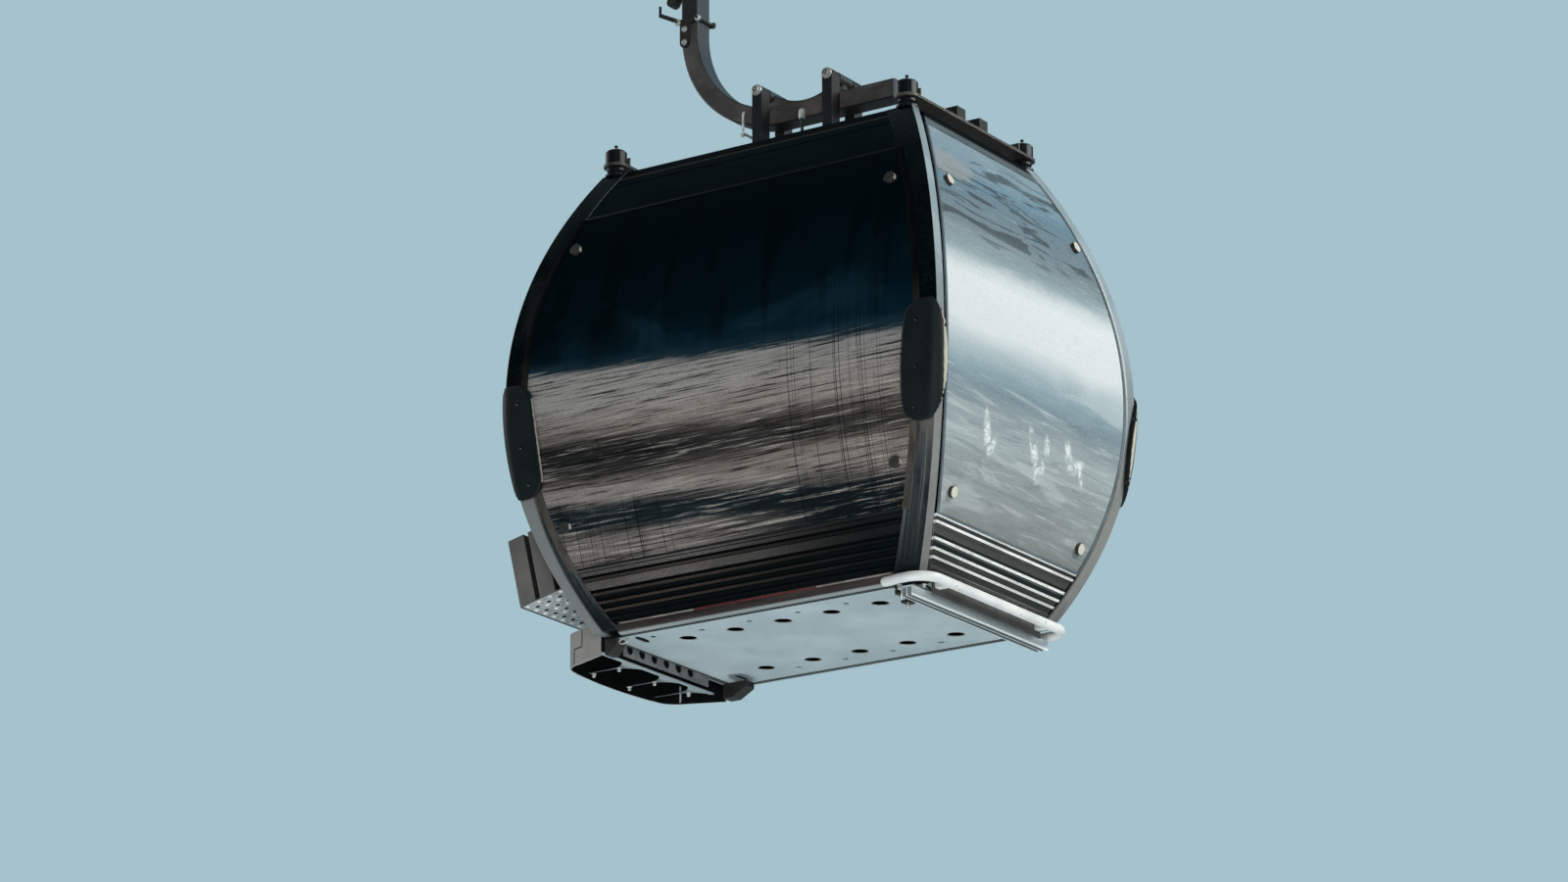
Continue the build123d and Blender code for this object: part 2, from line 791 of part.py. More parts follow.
with BuildPart() as channel:
    channel_x = floor_x - channel_inset
    channel_top = level(-sheet_under - channel_drop)
    with BuildSketch(Plane.XZ.offset(-channel_half_length)):
        with Locations((channel_x, channel_top - channel_tall / 2)):
            Rectangle(channel_width, channel_tall)
        with Locations((channel_x, channel_top - channel_tall / 2 - channel_wall)):
            Rectangle(channel_width - 2 * channel_wall, channel_tall, mode=Mode.SUBTRACT)
        with Locations((channel_x, channel_top - channel_tall / 2)):
            Rectangle(channel_wall, channel_tall)
    extrude(amount=2 * channel_half_length)
    for place in spacer_places:
        with Locations((channel_x, place, channel_top + channel_drop / 2)):
            Box(channel_width / 2, spacer_length, channel_drop)
keep("guide_channel", channel.part)

# Rubber mounts on the posts, and the flat bars that rest on them
bar_low = bar_height - bar_thickness / 2
bar_top = bar_height + bar_thickness / 2
foot_top = cabin_height + mount_foot_tall
mount_top = bar_top + mount_tall
# Half section: radius, height
mount_profile = (
    (0, cabin_height),
    (mount_foot_radius, cabin_height),
    (mount_foot_radius, foot_top),
    (neck_radius - neck_waist, foot_top + neck_step),
    (neck_radius, foot_top + 2 * neck_step),
    (neck_radius + neck_ring, foot_top + 2 * neck_step + neck_ring),
    (neck_radius + neck_ring, bar_low - neck_step),
    (neck_radius - neck_waist, bar_low),
    (mount_bolt_radius, bar_low),
    (mount_bolt_radius, bar_top),
    (mount_radius, bar_top),
    (mount_radius, mount_top - mount_edge),
    (mount_radius - mount_edge, mount_top),
    (mount_nut_radius, mount_top),
    (mount_nut_radius, mount_top + mount_nut_tall),
    (mount_bolt_radius, mount_top + mount_nut_tall),
    (mount_bolt_radius, mount_top + mount_bolt_tall),
    (0, mount_top + mount_bolt_tall),
)
with BuildPart() as rubber_mount:
    with BuildSketch(Plane.XZ):
        with BuildLine():
            Polyline([(out, level(height)) for out, height in mount_profile], close=True)
        make_face()
    revolve(axis=Axis.Z)
with BuildPart() as rubber_mounts:
    with GridLocations(2 * mount_x, 2 * mount_y, 2, 2):
        add(rubber_mount.part)
keep("rubber_mounts", rubber_mounts.part)

with BuildPart() as roof_bars:
    for side in (-1, 1):
        with BuildSketch(Plane.XY.offset(level(bar_low))):
            with Locations((side * mount_x, 0)):
                SlotCenterToCenter(2 * mount_y, bar_width, rotation=90)
                with GridLocations(1, 2 * mount_y, 1, 2):
                    Circle(mount_bolt_radius + pin_play, mode=Mode.SUBTRACT)
        extrude(amount=bar_thickness)
        with Locations((side * mount_x, 0, level(bar_top + tab_tall / 2))):
            with GridLocations(1, 2 * (mount_y - tab_behind), 1, 2):
                Box(tab_width, tab_thickness, tab_tall)
keep("roof_bars", roof_bars.part)

# Cross beams under the arm and the straps that stand on them
strap_y = arm_width / 2 + strap_gap + strap_thickness / 2
pin_height = beam_height + arm_depth / 2 + pin_above_beam
pin_places = (pin_middle_x - pin_spacing / 2, pin_middle_x + pin_spacing / 2)
with BuildPart() as cross_beams:
    for side in (-1, 1):
        with Locations((0, side * strap_y, level(bar_top + cross_beam_tall / 2))):
            Box(2 * (mount_x + cross_beam_over), cross_beam_width, cross_beam_tall)
keep("cross_beams", cross_beams.part)

with BuildPart() as straps:
    strap_low = bar_top + cross_beam_tall
    for side in (-1, 1):
        for place in pin_places:
            with BuildSketch(Plane.XZ.offset(-side * strap_y)):
                with Locations((place, level(pin_height))):
                    Circle(strap_width / 2)
                with Locations((place, level(strap_low))):
                    tall = pin_height - strap_low
                    Rectangle(strap_width, tall, align=(Align.CENTER, Align.MIN))
                with Locations((place, level(pin_height))):
                    Circle(hanger_pin_radius + pin_play, mode=Mode.SUBTRACT)
            extrude(amount=strap_thickness / 2, both=True)
keep("suspension_straps", straps.part)

with BuildPart() as hanger_pins:
    pin_half = strap_y + strap_thickness / 2
    for place in pin_places:
        for radius, over in ((hanger_pin_radius, pin_end), (pin_head_radius, pin_head_tall)):
            with BuildSketch(Plane.XZ):
                with Locations((place, level(pin_height))):
                    Circle(radius)
            extrude(amount=pin_half + over, both=True)
        with BuildSketch(Plane.XZ):
            with Locations((place, level(pin_height))):
                Circle(pin_head_radius + overlap)
                Circle(hanger_pin_radius, mode=Mode.SUBTRACT)
        extrude(amount=pin_half, both=True, mode=Mode.SUBTRACT)
keep("hanger_pins", hanger_pins.part)

# Hanger arm: one bent box section, with the two-eyed plate on its foot and the axle at its top
swing_z = swing_height
arm_end_x = swing_x - axle_length / 2 - flange_thickness
with BuildPart() as arm:
    with BuildLine(Plane.XZ) as arm_path:
        FilletPolyline(
            (beam_end_x, level(beam_height)),
            (arm_x, level(beam_height)),
            (arm_x, level(beam_height) + 2 * low_bend),
            radius=low_bend,
        )
        top_start = (arm_x, level(beam_height) + 2 * low_bend)
        FilletPolyline(top_start, (arm_x, swing_z), (arm_end_x, swing_z), radius=high_bend)
    start = arm_path.line @ 0
    with BuildSketch(Plane(origin=start, x_dir=(0, 1, 0), z_dir=(-1, 0, 0))):
        RectangleRounded(arm_width, arm_depth, arm_corner)
    sweep(path=arm_path.line)
    with BuildSketch(Plane.XZ):
        beam_top = level(beam_height + arm_depth / 2)
        eye_z = level(pin_height)
        with BuildLine():
            ThreePointArc(
                (pin_places[0], eye_z + eye_radius),
                (pin_middle_x, beam_top + gusset_dip),
                (pin_places[1], eye_z + eye_radius),
            )
            Polyline(
                (pin_places[1], eye_z + eye_radius),
                (pin_places[1] + eye_radius, beam_top - gusset_sink),
                (pin_places[0] - eye_radius, beam_top - gusset_sink),
                (pin_places[0], eye_z + eye_radius),
            )
        make_face()
    extrude(amount=gusset_thickness / 2, both=True)
    for place in pin_places:
        with BuildSketch(Plane.XZ):
            with Locations((place, eye_z)):
                Circle(eye_radius)
        extrude(amount=arm_width / 2, both=True)
        with BuildSketch(Plane.XZ):
            with Locations((place, eye_z)):
                Circle(hanger_pin_radius + pin_play)
        extrude(amount=arm_width, both=True, mode=Mode.SUBTRACT)
    with BuildSketch(Plane.YZ.offset(arm_end_x)):
        with Locations((0, swing_z)):
            Circle(flange_radius)
    extrude(amount=flange_thickness)
    with BuildSketch(Plane.YZ.offset(arm_end_x)):
        with Locations((0, swing_z)):
            Circle(swing_pin_radius)
    extrude(amount=flange_thickness + axle_length)
keep("hanger_arm", arm.part)

# Clamp round the arm, with a two-bolt lug and a hook on its front bar, and a buffer above it
clamp_z = level(beam_height + clamp_lift)
clamp_y = arm_width / 2 + clamp_thickness / 2
arm_out_x = arm_x - arm_depth / 2
with BuildPart() as arm_bracket:
    for side in (-1, 1):
        with Locations((arm_x, side * clamp_y, clamp_z)):
            Box(arm_depth + 2 * clamp_over, clamp_thickness, clamp_tall)
        with BuildSketch(Plane.XZ):
            with Locations((arm_x + side * (arm_depth / 2 + clamp_over / 2), clamp_z)):
                Circle(clamp_rod_radius)
        extrude(amount=clamp_y + clamp_rod_out, both=True)
    lug_x = arm_out_x + lug_radius
    lug_plane = Plane.XZ.offset(arm_width / 2)
    with BuildSketch(lug_plane) as lug:
        with Locations((lug_x, clamp_z)):
            Rectangle(2 * lug_radius, 2 * clamp_rod_radius)
        with Locations((lug_x, clamp_z - lug_drop)):
            Circle(lug_radius)
        make_hull()
    extrude(lug.sketch, amount=clamp_thickness)
    with BuildSketch(lug_plane.offset(clamp_thickness)):
        for drop in (lug_drop, lug_drop - lug_bolt_spacing):
            with Locations((lug_x, clamp_z - drop)):
                Circle(lug_bolt_radius)
    extrude(amount=lug_bolt_tall)
    with BuildSketch(lug_plane):
        hook_x = arm_out_x - hook_reach
        hook_z = clamp_z + hook_rise
        with BuildLine():
            Polyline(
                (arm_out_x, clamp_z - clamp_tall / 2),
                (hook_x, hook_z - clamp_tall / 2),
                (hook_x, hook_z + hook_tip),
                (hook_x + clamp_thickness, hook_z + hook_tip),
                (hook_x + clamp_thickness, hook_z + clamp_thickness / 2),
                (arm_out_x, clamp_z + clamp_tall / 2),
                close=True,
            )
        make_face()
    extrude(amount=clamp_thickness)
    buffer_z = clamp_z + buffer_lift
    with BuildSketch(Plane.XZ):
        with Locations((arm_out_x - buffer_out, buffer_z)):
            Circle(buffer_radius)
    extrude(amount=buffer_length / 2, both=True)
    with Locations((arm_out_x - buffer_out / 2, 0, buffer_z)):
        Box(buffer_out, buffer_stem, buffer_stem)
keep("arm_bracket", arm_bracket.part)

# Grip body: fixed jaw over the rope, bearing for the arm's axle, ears for the moving jaw
hub_clear = jaw_hub_radius + swing_gap
nose_x = jaw_pivot_x - hub_clear - swing_gap
with BuildPart() as grip_body:
    with BuildSketch(Plane.XZ):
        with BuildLine():
            Polyline(
                (-block_back, -block_low),
                (-rope_radius - jaw_throat, -block_low),
                (-rope_radius - jaw_wall / 2, -rope_radius),
                (-rope_radius, -jaw_throat),
                (0, 0),
                (nose_x, block_top / 2),
                (nose_x, block_top),
                (-block_back + block_chamfer, block_top),
                (-block_back, block_top - block_chamfer),
                close=True,
            )
        make_face()
        Circle(rope_radius, mode=Mode.SUBTRACT)
        with Locations((jaw_pivot_x, jaw_pivot_z)):
            Circle(hub_clear, mode=Mode.SUBTRACT)
    extrude(amount=jaw_half_length, both=True)
    for side in (-1, 1):
        with BuildSketch(Plane.XZ.offset(-side * jaw_half_length)):
            with Locations((jaw_pivot_x, jaw_pivot_z)):
                Circle(jaw_hub_radius)
            with Locations((-ear_back, jaw_pivot_z - ear_low)):
                Circle(ear_back_radius)
            make_hull()
        extrude(amount=side * ear_thickness)
        with BuildSketch(Plane.XZ.offset(-side * jaw_half_length)):
            with Locations((jaw_pivot_x, jaw_pivot_z)):
                Circle(bar_housing_radius)
        extrude(amount=-side * bar_housing_length)
        with BuildSketch(Plane.YZ.offset(jaw_pivot_x)):
            with Locations((side * wheel_y, jaw_pivot_z)):
                Circle(wheel_axle_radius)
        extrude(amount=bar_housing_radius + 2 * wheel_gap + wheel_width)
        with BuildSketch(Plane.YZ.offset(jaw_pivot_x)):
            with Locations((side * wheel_y, jaw_pivot_z)):
                Circle(wheel_boss_radius)
        extrude(amount=bar_housing_radius + wheel_gap - swing_gap)
        leg_tall = plate_height - plate_thickness - block_top
        with Locations((-plate_back, side * plate_leg_y, block_top + leg_tall / 2)):
            Box(plate_leg_width, plate_leg_thickness, leg_tall)
    with BuildSketch(Plane.YZ.offset(housing_start)):
        with Locations((0, swing_z)):
            Circle(housing_radius)
    extrude(amount=housing_end - housing_start)
    with BuildSketch(Plane.YZ.offset(housing_start)):
        with Locations((0, swing_z)):
            Circle(swing_pin_radius + pin_play)
    extrude(amount=housing_end - housing_start - bearing_wall, mode=Mode.SUBTRACT)
    with BuildSketch(Plane.XZ):
        with Locations((jaw_pivot_x, jaw_pivot_z)):
            Circle(jaw_pin_radius + pin_play)
    extrude(amount=jaw_half_length, both=True, mode=Mode.SUBTRACT)
keep("grip_body", grip_body.part)

with BuildPart() as jaw_pin:
    with BuildSketch(Plane.XZ):
        with Locations((jaw_pivot_x, jaw_pivot_z)):
            Circle(jaw_pin_radius)
    extrude(amount=jaw_half_length, both=True)
keep("jaw_pin", jaw_pin.part)

with BuildPart() as friction_plate:
    with Locations((-plate_back, 0, plate_height - plate_thickness / 2)):
        Box(plate_width, plate_length, plate_thickness)
keep("friction_plate", friction_plate.part)

# Moving jaw with its lever, and the roller that opens it
jaw_half = jaw_half_length - ear_thickness - swing_gap
lever_end_x = jaw_pivot_x + lever_reach
lever_end_z = jaw_pivot_z + lever_rise
web_x = rope_radius + jaw_wall - web_radius
web_z = rope_radius - web_radius
with BuildPart() as moving_jaw:
    with BuildSketch(Plane.XZ):
        Circle(rope_radius + jaw_wall)
        with BuildLine():
            Polyline(
                (0, 0),
                (jaw_hub_radius + web_radius, jaw_pivot_z),
                (-block_back, jaw_pivot_z),
                (-block_back, -block_low),
                (-jaw_wall / 2, -block_low),
                close=True,
            )
        make_face(mode=Mode.SUBTRACT)
        with BuildSketch(mode=Mode.PRIVATE) as web:
            with Locations((jaw_pivot_x, jaw_pivot_z)):
                Circle(jaw_hub_radius - web_radius)
            with Locations((web_x, web_z)):
                Circle(web_radius)
            make_hull()
        add(web.sketch)
        Circle(rope_radius, mode=Mode.SUBTRACT)
        with Locations((jaw_pivot_x, jaw_pivot_z)):
            Circle(jaw_hub_radius)
            Circle(jaw_pin_radius + pin_play, mode=Mode.SUBTRACT)
    extrude(amount=jaw_half, both=True)
    with BuildSketch(Plane.XZ):
        with Locations((jaw_pivot_x + jaw_hub_radius, jaw_pivot_z)):
            Circle(lever_root_radius)
        with Locations((lever_end_x - lever_tip_radius, lever_end_z)):
            Circle(lever_tip_radius)
        make_hull()
        with Locations((jaw_pivot_x, jaw_pivot_z)):
            Circle(jaw_hub_radius - overlap, mode=Mode.SUBTRACT)
    extrude(amount=lever_width / 2, both=True)
    with BuildSketch(Plane.YZ.offset(lever_end_x - lever_pin_radius)):
        with Locations((0, lever_end_z)):
            Circle(lever_pin_radius)
    extrude(amount=2 * lever_pin_radius + swing_gap + lever_roller_width)
keep("moving_jaw", moving_jaw.part)

with BuildPart() as lever_roller:
    with BuildSketch(Plane.YZ.offset(lever_end_x + swing_gap)):
        with Locations((0, lever_end_z)):
            Circle(lever_roller_radius)
            Circle(lever_pin_radius + pin_play, mode=Mode.SUBTRACT)
    extrude(amount=lever_roller_width)
keep("lever_roller", lever_roller.part)

# Running wheels of the grip
wheel_x = jaw_pivot_x + bar_housing_radius + wheel_gap
for name, side in ends:
    with BuildPart() as wheel:
        with BuildSketch(Plane.YZ.offset(wheel_x)):
            with Locations((side * wheel_y, jaw_pivot_z)):
                Circle(wheel_radius)
                Circle(wheel_axle_radius + pin_play, mode=Mode.SUBTRACT)
        extrude(amount=wheel_width)
    keep(f"running_wheel_{name}", wheel.part)
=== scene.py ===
import bmesh
import bpy
import math
from mathutils import Matrix, Vector


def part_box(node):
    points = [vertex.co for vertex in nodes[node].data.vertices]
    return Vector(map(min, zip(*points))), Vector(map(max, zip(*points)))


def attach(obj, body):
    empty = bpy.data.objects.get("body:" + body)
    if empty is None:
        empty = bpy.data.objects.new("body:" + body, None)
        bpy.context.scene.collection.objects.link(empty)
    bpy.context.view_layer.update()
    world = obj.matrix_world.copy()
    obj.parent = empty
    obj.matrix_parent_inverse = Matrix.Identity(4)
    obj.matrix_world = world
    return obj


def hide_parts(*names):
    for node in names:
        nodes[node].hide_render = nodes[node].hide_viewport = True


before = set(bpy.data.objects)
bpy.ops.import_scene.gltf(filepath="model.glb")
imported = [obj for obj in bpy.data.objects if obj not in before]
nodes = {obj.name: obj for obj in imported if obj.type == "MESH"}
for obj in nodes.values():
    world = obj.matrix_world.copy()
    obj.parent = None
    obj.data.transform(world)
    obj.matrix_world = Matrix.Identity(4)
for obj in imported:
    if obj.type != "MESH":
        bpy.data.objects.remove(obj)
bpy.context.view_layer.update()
print("frame loaded:", len(nodes), "nodes")

# The cabin's walls
postBoxes = [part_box(name) for name in nodes if name.startswith("corner_post")]
shell = {
    "arc": 2.3,             # radius of the bulge, m
    "widest": 1.16,         # height of the widest place over the posts' feet
    "halfWidth": max(high.x for low, high in postBoxes),
    "halfLength": max(high.y for low, high in postBoxes),
}
floorZ = min(low.z for low, high in postBoxes)
outwards = {
    "far": Vector((1, 0, 0)),
    "door": Vector((-1, 0, 0)),
    "front": Vector((0, -1, 0)),
    "back": Vector((0, 1, 0)),
}
bothSides = (-1, 1)
bothEnds = (("front", -1), ("back", 1))
upward, downward = (0, 0, 1), (0, 0, -1)


def wallOut(half, height, behind=0.0):
    # how far a bulged wall stands out from the middle at this height
    radius = shell["arc"] - behind
    return half - shell["arc"] + math.sqrt(radius ** 2 - (height - shell["widest"]) ** 2)


def wallEdge(face, height, inset):
    # distance along the wall to its corner, less the inset
    return wallOut(shell["halfLength" if outwards[face].x else "halfWidth"], height, inset)


def wallPoint(face, along, height, proud=0.0):
    outward = outwards[face]
    level = Vector((-outward.y, outward.x, 0))
    lean = math.asin((height - shell["widest"]) / shell["arc"])
    radius = shell["arc"] + proud
    reach = shell["halfWidth" if outward.x else "halfLength"] - shell["arc"] + radius * math.cos(lean)
    up = floorZ + shell["widest"] + radius * math.sin(lean)
    return outward * reach + level * along + Vector((0, 0, up))


def wallNormal(face, height):
    lean = math.asin((height - shell["widest"]) / shell["arc"])
    return outwards[face] * math.cos(lean) + Vector((0, 0, math.sin(lean)))


# Tools for pieces
def makeActive(piece):
    bpy.ops.object.select_all(action="DESELECT")
    piece.select_set(True)
    bpy.context.view_layer.objects.active = piece


def settle():
    # the selected piece's place goes into its mesh
    bpy.ops.object.transform_apply(location=True, rotation=True, scale=True)


def openEdit(piece, whole=False):
    makeActive(piece)
    bpy.ops.object.mode_set(mode="EDIT")
    if whole:
        bpy.ops.mesh.select_all(action="SELECT")


def closeEdit():
    bpy.ops.object.mode_set(mode="OBJECT")


def pickFaces(piece, test):
    # in edit mode: selects the faces whose middle and normal pass the test
    mesh = bmesh.from_edit_mesh(piece.data)
    bpy.ops.mesh.select_all(action="DESELECT")
    for face in mesh.faces:
        face.select_set(test(face.calc_center_median(), face.normal))
    bmesh.update_edit_mesh(piece.data)


def pickEnd(piece, way=1):
    # in edit mode: selects the flat faces at one end along Z
    pickFaces(piece, lambda middle, normal: normal.z * way > 0.9)


def turnOutwards():
    # in edit mode: recalculates the normals of the whole piece
    bpy.ops.mesh.select_all(action="SELECT")
    bpy.ops.mesh.normals_make_consistent(inside=False)


def addModifier(piece, kind, **settings):
    makeActive(piece)
    modifier = piece.modifiers.new(kind.title(), kind)
    for key, value in settings.items():
        setattr(modifier, key, value)
    bpy.ops.object.modifier_apply(modifier=modifier.name)


def joinPieces(pieces):
    makeActive(pieces[0])
    for piece in pieces:
        piece.select_set(True)
    if len(pieces) > 1:
        bpy.ops.object.join()
    return pieces[0]


def finishPiece(parts, name, finish, smooth=30, body="cabin"):
    # joins and names a piece, settles its place into its mesh and lets it ride on its body
    piece = joinPieces(parts) if isinstance(parts, list) else parts
    makeActive(piece)
    settle()
    if smooth:
        bpy.ops.object.shade_smooth_by_angle(angle=math.radians(smooth))
    piece.name = piece.data.name = name
    piece.data.materials.clear()
    piece.data.materials.append(finishes[finish])
    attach(piece, body)
    return piece


def copyOf(source, place=Matrix()):
    # a second object with its own mesh, moved by a matrix
    copy = bpy.data.objects.new(source.name, source.data.copy())
    bpy.context.scene.collection.objects.link(copy)
    copy.data.transform(place)
    return copy


def copyTo(source, places):
    # copies a piece made at the origin, pointing along +Z, to each (place, direction)
    copies = []
    for place, direction in places:
        turn = Vector(direction).to_track_quat("Z", "Y").to_matrix().to_4x4()
        copies.append(copyOf(source, Matrix.Translation(place) @ turn))
    bpy.data.objects.remove(source)
    return joinPieces(copies)


def cleanCopy(name):
    # a copy of a CAD node with its loose triangles merged
    copy = copyOf(nodes[name])
    openEdit(copy, True)
    bpy.ops.mesh.remove_doubles(threshold=0.00002)
    closeEdit()
    return copy


# Tools for finishes
def tint(red, green, blue):
    # a colour as a screen shows it, 0 to 255
    values = []
    for part in (red, green, blue):
        part /= 255
        values.append(part / 12.92 if part < 0.04045 else ((part + 0.055) / 1.055) ** 2.4)
    return (*values, 1)


def addNode(tree, kind, sockets=(), **settings):
    made = tree.nodes.new("ShaderNode" + kind)
    for key, value in settings.items():
        setattr(made, key, value)
    for key, value in dict(sockets).items():
        if isinstance(value, bpy.types.NodeSocket):
            tree.links.new(value, made.inputs[key])
        else:
            made.inputs[key].default_value = value
    return made


def objectPlace(tree):
    return tree.nodes.get("Texture Coordinate") or addNode(tree, "TexCoord")


def speckle(tree, scale, stretch=(1, 1, 1), detail=4, rough=0.55, twist=0.0, turn=(0, 0, 0)):
    # noise on object coordinates, finer along an axis with a larger stretch
    place = addNode(tree, "Mapping", {
        "Vector": objectPlace(tree).outputs["Object"], "Scale": stretch, "Rotation": turn})
    return addNode(tree, "TexNoise", {
        "Vector": place.outputs["Vector"], "Scale": scale, "Detail": detail,
        "Roughness": rough, "Distortion": twist}).outputs["Fac"]


def span(tree, value, low, high, start=0.0, end=1.0, smooth=True):
    return addNode(tree, "MapRange", {
        "Value": value, "From Min": low, "From Max": high, "To Min": start, "To Max": end},
        interpolation_type="SMOOTHSTEP" if smooth else "LINEAR").outputs["Result"]


def calc(tree, operation, first, second=0.0, third=0.0):
    return addNode(tree, "Math", {0: first, 1: second, 2: third}, operation=operation).outputs[0]


def times(tree, first, *others):
    for other in others:
        first = calc(tree, "MULTIPLY", first, other)
    return first


def fromMiddle(tree, value, middle, half):
    # 0 in the middle of a patch, 1 on its rim
    return calc(tree, "DIVIDE", calc(tree, "SUBTRACT", value, middle), half)


def ovalAway(tree, across, along):
    return calc(tree, "ADD", times(tree, across, across), times(tree, along, along))


def mixColour(tree, share, first, second):
    # each colour is a socket, or three numbers as a screen shows it
    pair = [tint(*colour) if isinstance(colour, tuple) else colour for colour in (first, second)]
    return addNode(tree, "Mix", {0: share, 6: pair[0], 7: pair[1]}, data_type="RGBA").outputs[2]


def steps(tree, value, stops, top, kind="LINEAR"):
    # colours by height; a stop is its height and three numbers, and top is the height at the ramp's end
    ramp = addNode(tree, "ValToRGB", {"Fac": value})
    ramp.color_ramp.interpolation = kind
    placed = [(stop[0] / top, tint(*stop[1:])) for stop in stops]
    stopList = ramp.color_ramp.elements
    stopList[0].position, stopList[0].color = placed[0]
    stopList[1].position, stopList[1].color = placed[-1]
    for place, colour in placed[1:-1]:
        stopList.new(place).color = colour
    return ramp.outputs["Color"]


def axis(tree, letter):
    parts = tree.nodes.get("placeParts") or addNode(
        tree, "SeparateXYZ", {0: objectPlace(tree).outputs["Object"]}, name="placeParts")
    return parts.outputs[letter]


def dotWith(tree, vector, other):
    return addNode(tree, "VectorMath", {0: vector, 1: other}, operation="DOT_PRODUCT").outputs["Value"]


def facing(tree, direction, low, high):
    # 1 where the surface points in this direction
    return span(tree, dotWith(tree, objectPlace(tree).outputs["Normal"], direction), low, high)


def eitherWay(tree, direction, low, high):
    # the same for a direction and its opposite
    opposite = tuple(-part for part in direction)
    return calc(tree, "MAXIMUM", facing(tree, direction, low, high), facing(tree, opposite, low, high))


def edges(tree, width):
    # 1 on sharp edges, for wear and for painted highlights along them
    soft = addNode(tree, "Bevel", {"Radius": width}, samples=3).outputs["Normal"]
    return span(tree, dotWith(tree, soft, addNode(tree, "NewGeometry").outputs["Normal"]), 0.985, 0.80)


def startFinish(name, metal=0.0, gloss=0.5):
    material = bpy.data.materials.new(name)
    material.use_nodes = True
    shader = material.node_tree.nodes["Principled BSDF"]
    shader.inputs["Metallic"].default_value = metal
    shader.inputs["Specular IOR Level"].default_value = gloss
    return material, material.node_tree


def closeFinish(material, colour, mottle, rough, *reliefs):
    # a finish's colour, its roughness, which follows the mottle, and its bumps: (pattern, depth, strength)
    tree = material.node_tree
    shader = tree.nodes["Principled BSDF"]
    tree.links.new(colour, shader.inputs["Base Color"])
    tree.links.new(span(tree, mottle, 0.3, 0.7, *rough), shader.inputs["Roughness"])
    for pattern, depth, strength in reliefs:
        sockets = {"Height": pattern, "Distance": depth, "Strength": strength}
        if shader.inputs["Normal"].links:
            sockets["Normal"] = shader.inputs["Normal"].links[0].from_socket
        tree.links.new(addNode(tree, "Bump", sockets).outputs["Normal"], shader.inputs["Normal"])
    return material


def surface(name, dark, pale, speck, patch, grain, grainShow, rough, **look):
    # patches of two colours, fine grain, painted light and shade on faces by the way they point, bands,
    # stains, and worn edges whose pale tones are also painted highlights
    material, tree = startFinish(name, look.get("metal", 0.0), look.get("gloss", 0.5))
    patches = speckle(tree, patch, look.get("stretch", (1, 1, 1)), 5)
    grains = speckle(tree, grain, look.get("grainStretch", (1, 1, 1)), 3, 0.6)
    colour = mixColour(tree, span(tree, patches, 0.36, 0.66), dark, pale)
    colour = mixColour(tree, span(tree, grains, 0.25, 0.75, 0, grainShow), colour, speck)
    # painted light and shade: faces that point one way take the row's tone
    for direction, low, high, share, tone in look.get("sides", ()):
        uneven = span(tree, patches, 0.2, 0.8, share * 0.7, share)
        colour = mixColour(tree, times(tree, facing(tree, direction, low, high), uneven), colour, tone)
    for letter, low, high, share, tone in look.get("bands", ()):
        colour = mixColour(tree, span(tree, axis(tree, letter), low, high, 0, share), colour, tone)
    if "stain" in look:
        tone, scale, start, share = look["stain"]
        spots = speckle(tree, scale, (1, 1, 1), 6, 0.65)
        colour = mixColour(tree, span(tree, spots, start, 0.72, 0, share), colour, tone)
    # worn edges; a pale edge tone is also a painted highlight along the edge
    if "edge" in look:
        tone, share = look["edge"]
        edgeWearAndGlint = span(tree, patches, 0.3, 0.6, share * 0.5, share)
        colour = mixColour(tree, times(tree, edges(tree, look.get("edgeWidth", 0.003)), edgeWearAndGlint), colour, tone)
    mottle = calc(tree, "MULTIPLY_ADD", grains, 0.35, times(tree, patches, 0.65))
    return closeFinish(material, colour, mottle, rough,
                       (grains, look.get("depth", 0.0004), look.get("relief", 0.5)))


def addStain(material, x, y, wide, long, share, tone):
    # a soft uneven stain on a level surface, over the finish that is there
    tree = material.node_tree
    base = tree.nodes["Principled BSDF"].inputs["Base Color"]
    away = ovalAway(tree, fromMiddle(tree, axis(tree, "X"), x, wide),
                    fromMiddle(tree, axis(tree, "Y"), y, long))
    blotches = speckle(tree, 24, (1, 1, 1), 4, 0.6)
    uneven = calc(tree, "ADD", away, span(tree, blotches, 0.3, 0.7, -0.4, 0.4, False))
    stained = mixColour(tree, span(tree, uneven, 1.0, 0.35, 0, share), base.links[0].from_socket, tone)
    tree.links.new(stained, base)


def heightNode(tree, slope=0.0, along="Y"):
    return calc(tree, "MULTIPLY_ADD", axis(tree, along), slope,
                calc(tree, "SUBTRACT", axis(tree, "Z"), floorZ))


def fromCorner(tree, letter, half):
    # distance out from a bulged wall's face along X or Y, 0 on the face
    above = calc(tree, "SUBTRACT", heightNode(tree), shell["widest"])
    reach = calc(tree, "SQRT", calc(tree, "SUBTRACT", shell["arc"] ** 2, times(tree, above, above)))
    wall = calc(tree, "ADD", reach, shell[half] - shell["arc"])
    return calc(tree, "SUBTRACT", calc(tree, "ABSOLUTE", axis(tree, letter)), wall)


